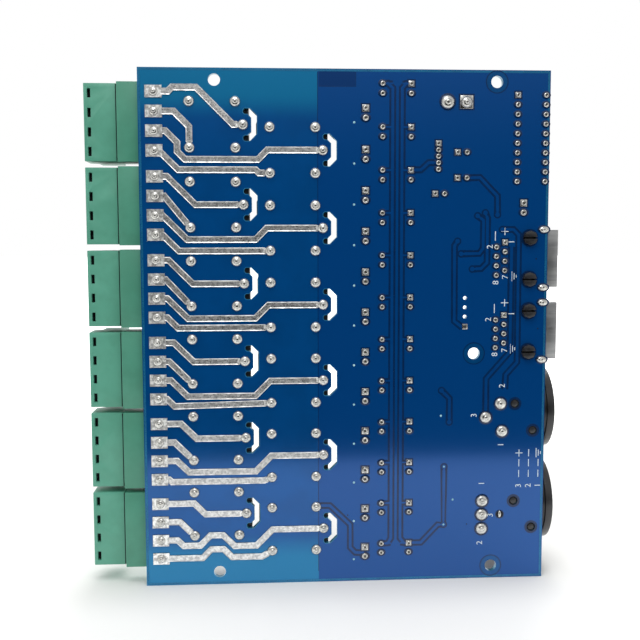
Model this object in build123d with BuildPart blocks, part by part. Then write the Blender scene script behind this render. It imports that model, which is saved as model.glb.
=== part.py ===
from build123d import *
from math import hypot
import os

# Twelve channel relay board, held upright by four screws.
# X runs to the right and Z up the board, as seen from its solder side. The solder face lies at Y = 0 and
# looks along -Y. The components stand on the other face, towards +Y. The origin is the centre of the
# mounting hole pattern, on the solder face. Places on the board are measured from its lower left corner,
# seen from the solder side. All lengths are in millimetres.

# Board blank and its mounting holes
board_width = 109.4
board_height = 138.8
board_thickness = 1.6
hole_diameter = 3.2
hole_spacing_x = 75.0
holes_from_left = 19.9
holes_from_bottom = 3.5
holes_from_top = 3.1
middle_hole_x = 89.5
middle_hole_z = 63.0

# Relays, in two columns
relay_count = 6
relay_length = 19.0
relay_width = 15.4
relay_height = 15.2
relay_edge = 0.8
relay_com_from_end = 1.4
relay_coil_pitch = 12.0
relay_coil_setback = 2.0
relay_contact_setback = 14.05
left_relay_x = 27.3
left_relay_middle_z = 71.945
left_relay_closer = 1.08
right_relay_x = 48.35
right_relay_middle_z = 66.35
right_relay_closer = 1.47

# Isolation slot round each relay's common pin
slot_width = 1.45
slot_half_span = 3.5
slot_start = 0.1
slot_reach = 2.95
slot_corner = 1.4
slot_end_cut = 0.4

# Pluggable terminals along the left edge
block_count = 6
poles = 4
pole_pitch = 5.08
block_pitch = 21.97
block_middle_z = 70.075
terminal_pin_x = 4.1
header_width = 20.8
header_depth = 12.0
header_height = 8.5
header_front = 9.8
header_floor = 1.3
header_roof = 1.2
header_back_wall = 1.6
header_end_wall = 0.8
key_slot_width = 1.5
key_slot_depth = 2.6
header_pin_size = 1.0
header_pin_length = 8.0

# Plug that mates with a header
plug_width = 20.32
plug_reach = 8.8
plug_tongue = 9.4
plug_height = 14.2
plug_front_gap = 0.3
plug_setback = 2.2
plug_shoulder = 7.8
plug_shoulder_rise = 1.2
tongue_clearance = 0.3
pin_socket_size = 1.6
pin_socket_spare = 1.5
entry_width = 3.9
entry_height = 5.0
entry_depth = 7.6
entry_floor = 1.3
clamp_clearance = 0.1
clamp_length = 3.4
clamp_window_width = 2.5
clamp_window_height = 2.6
clamp_floor = 0.9
screw_size = 2.9
screw_sides = 6
screw_well_clearance = 0.25
screw_sunk = 1.2
test_slot_from_end = 0.9
test_slot_length = 0.9
test_slot_width = 2.4
test_slot_break = 0.3

# Tinned tracks from the terminals to the relays
track_width = 1.7
track_thickness = 0.3
pad_length = 4.4
pad_width = 3.2

# Solder fillets
relay_joint_reach = 1.45
relay_joint_height = 1.3
terminal_joint_reach = 1.2
small_joint_reach = 0.75
small_joint_height = 1.0
led_joint_reach = 0.9
power_joint_reach = 1.75
power_joint_height = 1.7
round_joint_reach = 1.5
fillet_sides = 8
small_fillet_sides = 6
peg_sides = 8

# Control parts on the right half
dip_pitch = 2.54
dip_row_half = 3.81
opto_x = 68.1
opto_from_top = 5.0
opto_from_bottom = 9.17
channel_count = 12
opto_length = 6.4
opto_width = 4.6
opto_height = 3.5
opto_draft = 0.25
led_x = 59.76
led_from_top = 11.42
led_from_bottom = 8.25
led_diameter = 3.2
led_height = 5.0
led_crown = 0.9
led_sides = 8
status_led_x = 102.6
status_led_z = 102.45

# Coding switch
switch_ways = 10
switch_from_right = 4.96
switch_z = 120.9
switch_width = 9.7
switch_length = 27.0
switch_height = 5.6
switch_window_length = 3.4
switch_window_width = 1.5
switch_window_depth = 1.4
slider_length = 1.5
slider_gap = 0.1
slider_proud = 0.6

# Supply parts
power_x = 84.2
power_z = 130.4
power_width = 10.5
power_depth = 8.2
power_height = 10.0
power_entry = 3.6
power_setback = 1.4
regulator_x = 79.3
regulator_z = 116.1
regulator_pin_pitch = 1.7
regulator_pin_count = 5
regulator_pin_size = 0.8
regulator_leg = 3.4
regulator_width = 10.2
regulator_body_height = 9.0
regulator_body_depth = 4.4
regulator_tab_height = 6.6
regulator_tab_thickness = 1.3
regulator_tab_hole = 3.6
regulator_tab_hole_sides = 12
capacitor_diameter = 6.3
capacitor_height = 11.2
capacitor_pitch = 2.54
capacitor_rim = 0.5
capacitor_sides = 20
capacitor_places = [(85.75, 117.2), (85.75, 110.4), (79.75, 106.2)]
spare_header_x = 86.9
spare_header_z = 74.35
spare_header_poles = 4
spare_header_hole = 1.1

# Shielded data sockets on the right edge
socket_front = 3.3
socket_places_z = [88.75, 69.0]
socket_width = 15.6
socket_depth = 18.6
socket_height = 13.3
shell_wall = 0.35
socket_mouth_width = 11.9
socket_mouth_height = 6.8
socket_mouth_depth = 12.5
socket_mouth_floor = 2.6
socket_key_width = 6.2
socket_key_height = 1.6
contact_count = 8
contact_pitch = 1.27
contact_size = 0.45
contact_length = 8.0
contact_height = 8.0
socket_peg_from_right = 5.0
socket_peg_half = 5.6
peg_diameter = 3.0
peg_hole_clearance = 0.15
peg_head_diameter = 3.9
peg_head_height = 1.3
peg_slit = 0.5
socket_row_a_from_right = 11.75
socket_row_b_from_right = 14.05
tab_from_right = 1.1
tab_half = 7.85
tab_joint_length = 2.8
tab_joint_width = 1.9

# Round three pole connectors on the right edge
round_front = 4.7
round_axis_height = 15.4
flange_radius = 11.6
flange_thickness = 2.0
round_sides = 32
round_poles = 3
round_body_width = 22.4
round_body_height = 24.6
round_body_depth = 21.0
round_body_corner = 3.0
round_body_setback = 0.3
collar_radius = 10.9
female_z = 45.25
male_z = 18.0
mouth_radius = 9.7
core_radius = 7.9
male_mouth_radius = 8.3
mouth_depth = 12.0
contact_circle_radius = 3.7
contact_pin_diameter = 2.4
contact_pin_sides = 12
contact_pin_length = 9.5
contact_socket_diameter = 2.7
contact_socket_sides = 8
contact_socket_depth = 8.0
latch_width = 5.0
latch_height = 2.6
latch_length = 7.0
latch_gap = 0.15
latch_travel = 1.0
round_peg_diameter = 1.9
round_peg_flush = 0.1
round_peg_inner_from_right = 8.3
round_peg_outer_from_right = 3.2
round_peg_half = 3.75
female_pins = [(12.3, 3.85), (16.4, 0.05), (11.8, -3.85)]
male_pins = [(17.1, 3.85), (17.2, 0.0), (17.2, -4.0)]

# Surface mounted parts: place from the left and bottom edge, size across and up the board, height
driver_x = 54.6
driver_offset = 0.3
driver_size = (2.9, 1.5, 1.1)
diode_x = 62.7
diode_size = (1.7, 3.6, 1.3)
flat_parts = {
    "controller": (90.5, 93.0, 7.0, 7.0, 1.1),
    "bus driver": (88.5, 82.0, 5.0, 4.0, 1.6),
    "crystal": (80.5, 92.0, 3.4, 11.0, 3.4),
    "choke": (94.2, 120.0, 8.0, 8.0, 4.5),
    "rectifier": (94.5, 109.2, 5.2, 3.8, 2.3),
    "small regulator": (92.0, 102.4, 6.5, 3.6, 1.7),
}

hole_spacing_z = board_height - holes_from_bottom - holes_from_top
left = -hole_spacing_x / 2 - holes_from_left
right = left + board_width
bottom = -hole_spacing_z / 2 - holes_from_bottom
deck = board_thickness

away = (0, 1, 0)
towards = (0, -1, 0)


def face_at(y):
    """Plane parallel to the board, y behind its solder face. Sketches on it read X and Z."""
    return Plane.XZ.offset(-y)


def end_at(x):
    """Plane across the board at x. Sketches on it read Y and Z, and grow towards +X."""
    return Plane.YZ.offset(x)


def level_at(z):
    """Plane level with z. Sketches on it read X and Y, and grow upwards."""
    return Plane.XY.offset(z)


def column(x, top_z, pitch, count):
    """Places of a column of parts, from the top down, measured from the board's corner."""
    return [(x, top_z - pitch * i) for i in range(count)]


def centred_column(x, middle_z, pitch, count):
    """Places of a column of parts about its middle, from the top down."""
    return column(x, middle_z + pitch * (count - 1) / 2, pitch, count)


def channel_column(x, from_top, from_bottom):
    """Places of one part a channel, spread evenly between its distances from the board's edges."""
    pitch = (board_height - from_top - from_bottom) / (channel_count - 1)
    return column(x, board_height - from_top, pitch, channel_count)


def in_frame(places):
    """Places measured from the board's lower left corner, in the part's own frame."""
    return [(left + x, bottom + z) for x, z in places]


def on_face(places, y):
    """The same places as positions on the plane at y."""
    return [(x, y, z) for x, z in in_frame(places)]


def from_right(distance):
    """Place measured from the board's left edge of something set by its right edge."""
    return board_width - distance


def keep(part, name):
    """Label a finished piece and write it to its own file."""
    part.label = name
    export_step(part, f"parts/{name}.step")


os.makedirs("parts", exist_ok=True)

# Places that several pieces share. The relay columns follow the terminal blocks, a little closer together
left_relay_pitch = block_pitch - left_relay_closer
right_relay_pitch = block_pitch - right_relay_closer
left_relays = centred_column(left_relay_x, left_relay_middle_z, left_relay_pitch, relay_count)
right_relays = centred_column(right_relay_x, right_relay_middle_z, right_relay_pitch, relay_count)
relay_places = [place for pair in zip(left_relays, right_relays) for place in pair]
block_places = centred_column(terminal_pin_x, block_middle_z, block_pitch, block_count)
optos = channel_column(opto_x, opto_from_top, opto_from_bottom)
leds = channel_column(led_x, led_from_top, led_from_bottom) + [(status_led_x, status_led_z)]
switch_x = from_right(switch_from_right)
switch_rows = column(switch_x, switch_z + dip_pitch * (switch_ways - 1) / 2, dip_pitch, switch_ways)
pole_offsets = [pole_pitch * (i - (poles - 1) / 2) for i in range(poles)]
regulator_top_pin_z = regulator_z + regulator_pin_pitch * (regulator_pin_count - 1) / 2
regulator_pins = column(regulator_x, regulator_top_pin_z, regulator_pin_pitch, regulator_pin_count)
mounting_holes = [
    (holes_from_left + i * hole_spacing_x, holes_from_bottom + j * hole_spacing_z)
    for i in range(2)
    for j in range(2)
]
spare_holes = [
    (spare_header_x, spare_header_z + dip_pitch * (i - (spare_header_poles - 1) / 2))
    for i in range(spare_header_poles)
]
socket_pegs = [
    (from_right(socket_peg_from_right), z + side * socket_peg_half)
    for z in socket_places_z
    for side in (-1, 1)
]
female_pegs = [
    (from_right(round_peg_inner_from_right), female_z + round_peg_half),
    (from_right(round_peg_outer_from_right), female_z - round_peg_half),
]
male_pegs = [
    (from_right(round_peg_inner_from_right), male_z + round_peg_half),
    (from_right(round_peg_outer_from_right), male_z - round_peg_half),
]


def pole_pins(place):
    """Pins of the terminal block at a place, from the top pole down."""
    x, z = place
    return [(x, z - offset) for offset in pole_offsets]


def strip_outline(route, width):
    """Outline of a flat strip of even width along a route, mitred at its bends."""
    points = [Vector(*point) for point in route]
    runs = [(b - a).normalized() for a, b in zip(points, points[1:])]
    rim_left = []
    rim_right = []
    for point, arriving, leaving in zip(points, runs[:1] + runs, runs + runs[-1:]):
        middle = (arriving + leaving).normalized()
        sideways = Vector(-middle.Y, middle.X)
        reach = width / 2 / sideways.dot(Vector(-arriving.Y, arriving.X))
        rim_left.append(point + sideways * reach)
        rim_right.append(point - sideways * reach)
    return rim_left + rim_right[::-1]


def slot_route(place):
    """Centre line of the isolation slot round a relay's common pin, open towards the left."""
    x, z = place
    near = x + slot_start
    knee = x + slot_reach - slot_corner
    far = x + slot_reach
    low = z - slot_half_span
    high = z + slot_half_span
    corners = [(near, high), (knee, high), (far, high - slot_corner)]
    corners += [(far, low + slot_corner), (knee, low), (near, low)]
    return corners


# Printed circuit board
with BuildPart() as circuit_board:
    with BuildSketch(face_at(0)):
        with Locations(((left + right) / 2, bottom + board_height / 2)):
            Rectangle(board_width, board_height)
        with Locations(*in_frame(mounting_holes + [(middle_hole_x, middle_hole_z)])):
            Circle(hole_diameter / 2, mode=Mode.SUBTRACT)
        with Locations(*in_frame(spare_holes)):
            RegularPolygon(spare_header_hole / 2, peg_sides, mode=Mode.SUBTRACT)
        with Locations(*in_frame(socket_pegs)):
            RegularPolygon(peg_diameter / 2 + peg_hole_clearance, peg_sides, mode=Mode.SUBTRACT)
        with Locations(*in_frame(female_pegs + male_pegs)):
            RegularPolygon(round_peg_diameter / 2 + peg_hole_clearance, peg_sides, mode=Mode.SUBTRACT)
    extrude(amount=board_thickness, dir=away)
    for relays in (left_relays, right_relays):
        with BuildSketch(face_at(0)):
            for place in relays:
                with BuildLine():
                    Polyline(*strip_outline(in_frame(slot_route(place)), slot_width), close=True)
                make_face()
            chamfer(vertices().group_by(Axis.X)[0], slot_end_cut)
        extrude(amount=board_thickness, dir=away, mode=Mode.SUBTRACT)
keep(circuit_board.part, "circuit_board")


# Tinned tracks, each in one piece with its terminal pad
def distance(p, q):
    """Length of the run between two places."""
    return hypot(q[0] - p[0], q[1] - p[1])


def shortened(route, amount):
    """Route that stops short of its end by an amount. A last run too short to show is left out."""
    end = route[-1]
    if len(route) > 2 and distance(route[-2], end) < amount + track_width / 2:
        route = route[:-2] + [end]
    (ax, az) = route[-2]
    share = amount / distance(route[-2], end)
    return route[:-1] + [(end[0] + (ax - end[0]) * share, end[1] + (az - end[1]) * share)]


def track_route(start, turns, end, block_z):
    """Route of level runs joined by 45 degree runs, from a terminal pin to a relay pin.

    A turn is the x where it starts and the level that it goes to, None for the relay pin's own level. Levels
    are measured from the middle of the track's terminal block. Where a third value stops a turn in x, the
    rest of its way is plumb.
    """
    route = [start]
    x, level = start
    for turn_x, rise_from_block, *stop in turns:
        goal = end[1] if rise_from_block is None else block_z + rise_from_block
        rise = abs(goal - level)
        run = min(rise, stop[0] - turn_x) if stop else rise
        step = run if goal > level else -run
        route.append((turn_x, level))
        route.append((turn_x + run, level + step))
        if run < rise:
            route.append((turn_x + run, goal))
        level = goal
    route.append(end)
    return [p for p, q in zip(route, route[1:]) if distance(p, q) > track_width / 2] + [end]


contact_x = left_relay_x - relay_contact_setback
first_pole_turns = [
    [(7.9, 8.7), (15.2, None)],
    [(7.3, None)],
    [(7.4, None)],
    [(8.4, None)],
    [(10.0, None)],
    [(13.2, None)],
]
second_pole_turns = [9.3, 6.5, 6.5, 6.5, 6.5, 6.5]
third_pole_turns = [
    [(7.1, -7.9, 10.1), (10.1, -9.9), (31.2, None)],
    [(6.0, -8.93), (30.4, None)],
    [(6.9, -7.96), (30.2, None)],
    [(7.5, -6.99), (30.0, None)],
    [(8.8, -5.72), (30.0, None)],
    [(8.6, -4.15), (14.7, -1.35), (20.9, -4.45), (30.0, None)],
]
fourth_pole_turns = [
    [(5.3, -12.6), (30.6, None)],
    [(5.9, None)],
    [(6.8, None)],
    [(6.4, -9.59), (32.6, None)],
    [(6.6, -8.32), (32.3, None)],
    [(15.3, -5.25), (21.0, -7.55), (31.5, None)],
]

track_routes = []
for i, block in enumerate(block_places):
    pins = pole_pins(block)
    contact_drop = relay_coil_pitch / 2
    left_com = left_relays[i]
    right_com = right_relays[i]
    left_contact = (left_com[0] - relay_contact_setback, left_com[1] - contact_drop)
    right_contact = (right_com[0] - relay_contact_setback, right_com[1] - contact_drop)
    second_turn_x = max(second_pole_turns[i], contact_x - abs(left_contact[1] - pins[1][1]))
    second_turn = (second_turn_x, None, contact_x)
    block_z = block[1]
    track_routes.append(track_route(pins[0], first_pole_turns[i], left_com, block_z))
    track_routes.append(track_route(pins[1], [second_turn], left_contact, block_z))
    track_routes.append(track_route(pins[2], third_pole_turns[i], right_com, block_z))
    track_routes.append(track_route(pins[3], fourth_pole_turns[i], right_contact, block_z))

with BuildPart() as solder_tracks:
    with BuildSketch(face_at(0)):
        for route in track_routes:
            stopped = shortened(route, relay_joint_reach)
            with BuildLine():
                Polyline(*strip_outline(in_frame(stopped), track_width), close=True)
            make_face()
        with Locations(*in_frame([route[0] for route in track_routes])):
            Rectangle(pad_length, pad_width)
    extrude(amount=track_thickness, dir=towards)
keep(solder_tracks.part, "solder_tracks")


# Solder fillets
def solder_fillet(sides, reach, height, turn):
    """Fillet that narrows to the tip of its lead. The turn sets which way its flats face."""
    with BuildPart() as fillet_solid:
        with BuildSketch(face_at(0)) as foot:
            RegularPolygon(reach, sides, major_radius=False, rotation=turn)
        loft(sections=[foot.sketch.face(), Vertex(0, -height, 0)], ruled=True)
    return fillet_solid.part


def pad_fillet(length, width, height):
    """Fillet on a rectangular pad."""
    with BuildPart() as fillet_solid:
        with BuildSketch(face_at(0)) as foot:
            Rectangle(length, width)
        loft(sections=[foot.sketch.face(), Vertex(0, -height, 0)], ruled=True)
    return fillet_solid.part


relay_pin_offsets = [(0, 0)] + [
    (-setback, side * relay_coil_pitch / 2)
    for setback in (relay_coil_setback, relay_contact_setback)
    for side in (-1, 1)
]
relay_pins = [(x + dx, z + dz) for x, z in relay_places for dx, dz in relay_pin_offsets]
terminal_pins = [pin for block in block_places for pin in pole_pins(block)]
terminal_fillet_height = relay_joint_height - track_thickness

with BuildPart() as relay_joints:
    with Locations(*on_face(relay_pins, 0)):
        add(solder_fillet(fillet_sides, relay_joint_reach, relay_joint_height, 180 / fillet_sides))
    with Locations(*on_face(terminal_pins, -track_thickness)):
        add(solder_fillet(small_fillet_sides, terminal_joint_reach, terminal_fillet_height, 0))
keep(relay_joints.part, "relay_joints")

half_pin = dip_pitch / 2
square_pins = [(opto_x + dip_row_half, z + half_pin) for _, z in optos]
square_pins.append((switch_x - dip_row_half, switch_rows[0][1]))
square_pins.append(regulator_pins[0])
square_pins += [(x - capacitor_pitch / 2, z) for x, z in capacitor_places]
round_pins = [(opto_x - dip_row_half, z + half_pin) for _, z in optos]
round_pins += [(opto_x + side * dip_row_half, z - half_pin) for _, z in optos for side in (-1, 1)]
round_pins += [(switch_x - dip_row_half, z) for _, z in switch_rows[1:]]
round_pins += [(switch_x + dip_row_half, z) for _, z in switch_rows]
round_pins += regulator_pins[1:]
round_pins += [(x + capacitor_pitch / 2, z) for x, z in capacitor_places]
socket_rows = [from_right(socket_row_a_from_right), from_right(socket_row_b_from_right)]
socket_pins = [
    (socket_rows[i % 2], z + contact_pitch * ((contact_count - 1) / 2 - i))
    for z in socket_places_z
    for i in range(contact_count)
]
square_pins += socket_pins[::contact_count]
round_pins += [pin for i, pin in enumerate(socket_pins) if i % contact_count]
tab_places = [
    (from_right(tab_from_right), z + side * tab_half) for z in socket_places_z for side in (-1, 1)
]
round_connector_pins = [(from_right(x), female_z + z) for x, z in female_pins]
round_connector_pins += [(from_right(x), male_z + z) for x, z in male_pins]

with BuildPart() as pin_joints:
    with Locations(*on_face(round_pins, 0)):
        add(solder_fillet(small_fillet_sides, small_joint_reach, small_joint_height, 0))
    with Locations(*on_face(square_pins, 0)):
        add(pad_fillet(2 * small_joint_reach, 2 * small_joint_reach, small_joint_height))
    with Locations(*on_face([(x, z + half_pin) for x, z in leds], 0)):
        add(pad_fillet(2 * led_joint_reach, 2 * led_joint_reach, small_joint_height))
    with Locations(*on_face([(x, z - half_pin) for x, z in leds], 0)):
        add(solder_fillet(small_fillet_sides, led_joint_reach, small_joint_height, 0))
    with Locations(*on_face(tab_places, 0)):
        add(pad_fillet(tab_joint_length, tab_joint_width, small_joint_height))
    with Locations(*on_face([(power_x - pole_pitch / 2, power_z)], 0)):
        add(solder_fillet(fillet_sides, power_joint_reach, power_joint_height, 0))
    with Locations(*on_face([(power_x + pole_pitch / 2, power_z)], 0)):
        add(pad_fillet(2 * power_joint_reach, 2 * power_joint_reach, power_joint_height))
    with Locations(*on_face(round_connector_pins, 0)):
        add(solder_fillet(fillet_sides, round_joint_reach, relay_joint_height, 0))
keep(pin_joints.part, "pin_joints")

# Relays
with BuildPart() as relay:
    with BuildSketch(face_at(deck)):
        with Locations((relay_com_from_end - relay_length / 2, 0)):
            Rectangle(relay_length, relay_width)
        chamfer(vertices(), relay_edge)
    extrude(amount=relay_height, dir=away)
    chamfer(relay.faces().sort_by(Axis.Y)[-1].edges(), relay_edge)

for i, (x, z) in enumerate(in_frame(relay_places)):
    keep(relay.part.moved(Location((x, 0, z))), f"relay_{i + 1:02d}")

# Header of a pluggable terminal, drawn round the middle of its pin row
header_back = header_depth - header_front
cavity_back = header_back - header_back_wall
cavity_floor = deck + header_floor
cavity_roof = deck + header_height - header_roof
cavity_middle = (cavity_floor + cavity_roof) / 2

with BuildPart() as header:
    with BuildSketch(level_at(-header_width / 2)):
        with Locations((header_back - header_depth / 2, deck + header_height / 2)):
            Rectangle(header_depth, header_height)
    extrude(amount=header_width)
    with BuildSketch(end_at(-header_front)):
        with Locations((cavity_middle, 0)):
            Rectangle(cavity_roof - cavity_floor, header_width - 2 * header_end_wall)
    extrude(amount=cavity_back + header_front, mode=Mode.SUBTRACT)
    with BuildSketch(face_at(cavity_roof)):
        with Locations(*[(key_slot_depth / 2 - header_front, z) for z in pole_offsets[1:3]]):
            Rectangle(key_slot_depth, key_slot_width)
    extrude(amount=header_roof, dir=away, mode=Mode.SUBTRACT)

with BuildPart() as header_pins:
    for block_x, block_z in in_frame(block_places):
        with Locations(*[
            (block_x + cavity_back - header_pin_length / 2, cavity_middle, block_z + offset)
            for offset in pole_offsets
        ]):
            Box(header_pin_length, header_pin_size, header_pin_size)
keep(header_pins.part, "header_pins")

# Plug of a pluggable terminal, drawn in the place where it is fully home
plug_end = -header_front - plug_reach
plug_face = -header_front - plug_front_gap
plug_floor = cavity_floor + tongue_clearance
plug_top = plug_floor + plug_height
tongue_end = plug_end + plug_reach + plug_tongue
tongue_roof = cavity_roof - tongue_clearance
tongue_width = header_width - 2 * (header_end_wall + tongue_clearance)
ledge_x = plug_end + plug_setback
ledge_y = plug_floor + plug_shoulder
screw_x = (plug_face + ledge_x) / 2
entry_middle = plug_floor + entry_floor + entry_height / 2
entry_roof = entry_middle + entry_height / 2
screw_top = plug_top - screw_sunk
pin_tip = cavity_back - header_pin_length
pin_socket_depth = tongue_end - pin_tip + pin_socket_spare

with BuildPart() as plug:
    with BuildSketch(level_at(-plug_width / 2)):
        with BuildLine():
            Polyline(
                (plug_end, plug_floor),
                (plug_face, plug_floor),
                (plug_face, plug_top),
                (ledge_x, plug_top),
                (ledge_x, ledge_y + plug_shoulder_rise),
                (plug_end, ledge_y),
                close=True,
            )
        make_face()
    extrude(amount=plug_width)
    with BuildSketch(level_at(-tongue_width / 2)):
        with Locations(((plug_face + tongue_end) / 2, (plug_floor + tongue_roof) / 2)):
            Rectangle(tongue_end - plug_face, tongue_roof - plug_floor)
    extrude(amount=tongue_width)
    with BuildSketch(end_at(tongue_end)):
        with Locations(*[(cavity_middle, z) for z in pole_offsets]):
            Rectangle(pin_socket_size, pin_socket_size)
    extrude(amount=-pin_socket_depth, mode=Mode.SUBTRACT)
    with BuildSketch(end_at(plug_end)):
        with Locations(*[(entry_middle, z) for z in pole_offsets]):
            Rectangle(entry_height, entry_width)
    extrude(amount=entry_depth, mode=Mode.SUBTRACT)
    with BuildSketch(face_at(entry_roof)):
        with Locations(*[(screw_x, z) for z in pole_offsets]):
            RegularPolygon(screw_size / 2 + screw_well_clearance, screw_sides, major_radius=False)
    extrude(amount=plug_top - entry_roof, dir=away, mode=Mode.SUBTRACT)
    with BuildSketch(face_at(plug_floor)):
        with Locations(*[(plug_end + test_slot_from_end + test_slot_length / 2, z) for z in pole_offsets]):
            Rectangle(test_slot_length, test_slot_width)
    extrude(amount=entry_floor + test_slot_break, dir=away, mode=Mode.SUBTRACT)

# Wire clamps and their screws, one set in each plug
clamp_width = entry_width - 2 * clamp_clearance
clamp_height = entry_height - 2 * clamp_clearance
clamp_bottom = entry_middle - clamp_height / 2
clamp_top = entry_middle + clamp_height / 2
window_middle = clamp_bottom + clamp_floor + clamp_window_height / 2

with BuildPart() as plug_clamps:
    with BuildSketch(end_at(screw_x - clamp_length / 2)):
        for z in pole_offsets:
            with Locations((entry_middle, z)):
                Rectangle(clamp_height, clamp_width)
            with Locations((window_middle, z)):
                Rectangle(clamp_window_height, clamp_window_width, mode=Mode.SUBTRACT)
    extrude(amount=clamp_length)
with BuildPart() as plug_screws:
    with BuildSketch(face_at(clamp_top)):
        with Locations(*[(screw_x, z) for z in pole_offsets]):
            RegularPolygon(screw_size / 2, screw_sides, major_radius=False)
    extrude(amount=screw_top - clamp_top, dir=away)
clamp_set = Compound(children=plug_clamps.part.solids() + plug_screws.part.solids())

for i, (x, z) in enumerate(in_frame(block_places)):
    keep(header.part.moved(Location((x, 0, z))), f"header_{i + 1}")
    keep(plug.part.moved(Location((x, 0, z))), f"plug_{i + 1}")
    keep(clamp_set.moved(Location((x, 0, z))), f"plug_clamps_{i + 1}")

# Coding switch and its sliders
switch_top = deck + switch_height
slider_width = switch_window_width - 2 * slider_gap
slider_travel = switch_window_length - slider_length - 2 * slider_gap
slider_rest = -slider_travel / 2

with BuildPart() as switch_body:
    with BuildSketch(face_at(deck)):
        with Locations(*in_frame([(switch_x, switch_z)])):
            Rectangle(switch_width, switch_length)
    extrude(amount=switch_height, dir=away)
    with BuildSketch(face_at(switch_top)):
        with Locations(*in_frame(switch_rows)):
            Rectangle(switch_window_length, switch_window_width)
    extrude(amount=switch_window_depth, dir=towards, mode=Mode.SUBTRACT)
keep(switch_body.part, "switch_body")

with BuildPart() as slider:
    with BuildSketch(face_at(switch_top - switch_window_depth)):
        with Locations((slider_rest, 0)):
            Rectangle(slider_length, slider_width)
    extrude(amount=switch_window_depth + slider_proud, dir=away)

for i, (x, z) in enumerate(in_frame(switch_rows)):
    keep(slider.part.moved(Location((x, 0, z))), f"switch_slider_{i + 1:02d}")

# Two pole supply terminal, with its wire entries towards the board's top edge
power_places = [(power_x + side * pole_pitch / 2, power_z) for side in (-1, 1)]
power_front = bottom + power_z + power_depth / 2
power_top = deck + power_height
power_entry_middle = deck + entry_floor + power_entry / 2
power_entry_roof = power_entry_middle + power_entry / 2
power_clamp_size = power_entry - 2 * clamp_clearance
power_clamp_top = power_entry_middle + power_clamp_size / 2

with BuildPart() as power_terminal:
    with BuildSketch(end_at(left + power_x - power_width / 2)):
        with BuildLine():
            Polyline(
                (deck, power_front - power_depth),
                (deck, power_front),
                (power_entry_roof + plug_shoulder_rise, power_front),
                (power_top, power_front - power_setback),
                (power_top, power_front - power_depth + power_setback),
                (power_entry_roof, power_front - power_depth),
                close=True,
            )
        make_face()
    extrude(amount=power_width)
    with BuildSketch(level_at(power_front)):
        with Locations(*[(x, power_entry_middle) for x, _ in in_frame(power_places)]):
            Rectangle(power_entry, power_entry)
    extrude(amount=-power_depth / 2 - clamp_length / 2, mode=Mode.SUBTRACT)
    with BuildSketch(face_at(power_entry_roof)):
        with Locations(*in_frame(power_places)):
            RegularPolygon(screw_size / 2 + screw_well_clearance, screw_sides, major_radius=False)
    extrude(amount=power_top - power_entry_roof, dir=away, mode=Mode.SUBTRACT)
keep(power_terminal.part, "power_terminal")

with BuildPart() as power_clamp_blocks:
    with BuildSketch(level_at(bottom + power_z - clamp_length / 2)):
        for x, _ in in_frame(power_places):
            with Locations((x, power_entry_middle)):
                Rectangle(power_clamp_size, power_clamp_size)
            with Locations((x, power_entry_middle - clamp_clearance)):
                Rectangle(clamp_window_width, power_clamp_size / 2, mode=Mode.SUBTRACT)
    extrude(amount=clamp_length)
with BuildPart() as power_screws:
    with BuildSketch(face_at(power_clamp_top)):
        with Locations(*in_frame(power_places)):
            RegularPolygon(screw_size / 2, screw_sides, major_radius=False)
    extrude(amount=power_top - screw_sunk - power_clamp_top, dir=away)
power_clamps = Compound(children=power_clamp_blocks.part.solids() + power_screws.part.solids())
keep(power_clamps, "power_clamps")

# Five leg regulator, standing on its legs
regulator_foot = deck + regulator_leg
tab_top = regulator_foot + regulator_body_height + regulator_tab_height
tab_x = left + regulator_x + regulator_body_depth / 2 - regulator_tab_thickness
tab_hole_y = tab_top - regulator_tab_height / 2

with BuildPart() as voltage_regulator:
    with BuildSketch(face_at(regulator_foot)):
        with Locations(*in_frame([(regulator_x, regulator_z)])):
            Rectangle(regulator_body_depth, regulator_width)
    extrude(amount=regulator_body_height, dir=away)
    with BuildSketch(end_at(tab_x)):
        with Locations((tab_top - regulator_tab_height / 2, bottom + regulator_z)):
            Rectangle(regulator_tab_height, regulator_width)
        with Locations((tab_hole_y, bottom + regulator_z)):
            RegularPolygon(regulator_tab_hole / 2, regulator_tab_hole_sides, mode=Mode.SUBTRACT)
    extrude(amount=regulator_tab_thickness)
    with BuildSketch(face_at(deck)):
        with Locations(*in_frame(regulator_pins)):
            Rectangle(regulator_pin_size / 2, regulator_pin_size)
    extrude(amount=regulator_leg, dir=away)
keep(voltage_regulator.part, "voltage_regulator")

# Smoothing capacitors
with BuildPart() as capacitors:
    with BuildSketch(face_at(deck)):
        with Locations(*in_frame(capacitor_places)):
            RegularPolygon(capacitor_diameter / 2, capacitor_sides)
    extrude(amount=capacitor_height, dir=away)
    chamfer(capacitors.faces().filter_by(Axis.Y).group_by(Axis.Y)[-1].edges(), capacitor_rim)
keep(capacitors.part, "capacitors")

# Channel lamps and the supply lamp
with BuildPart() as lamp:
    with BuildSketch(face_at(deck)):
        RegularPolygon(led_diameter / 2, led_sides)
    extrude(amount=led_height, dir=away)
    chamfer(lamp.faces().sort_by(Axis.Y)[-1].edges(), led_crown)
with BuildPart() as lamps:
    with Locations(*on_face(leds, 0)):
        add(lamp.part)
keep(lamps.part, "lamps")

# Opto couplers, whose ends draw in above and below the mould line
with BuildPart() as opto:
    with BuildSketch(level_at(-opto_width / 2)):
        with BuildLine():
            Polyline(
                (-opto_length / 2 + opto_draft, deck),
                (-opto_length / 2, deck + opto_height / 2),
                (-opto_length / 2 + opto_draft, deck + opto_height),
                (opto_length / 2 - opto_draft, deck + opto_height),
                (opto_length / 2, deck + opto_height / 2),
                (opto_length / 2 - opto_draft, deck),
                close=True,
            )
        make_face()
    extrude(amount=opto_width)
with BuildPart() as optocouplers:
    with Locations(*on_face(optos, 0)):
        add(opto.part)
keep(optocouplers.part, "optocouplers")

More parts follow.
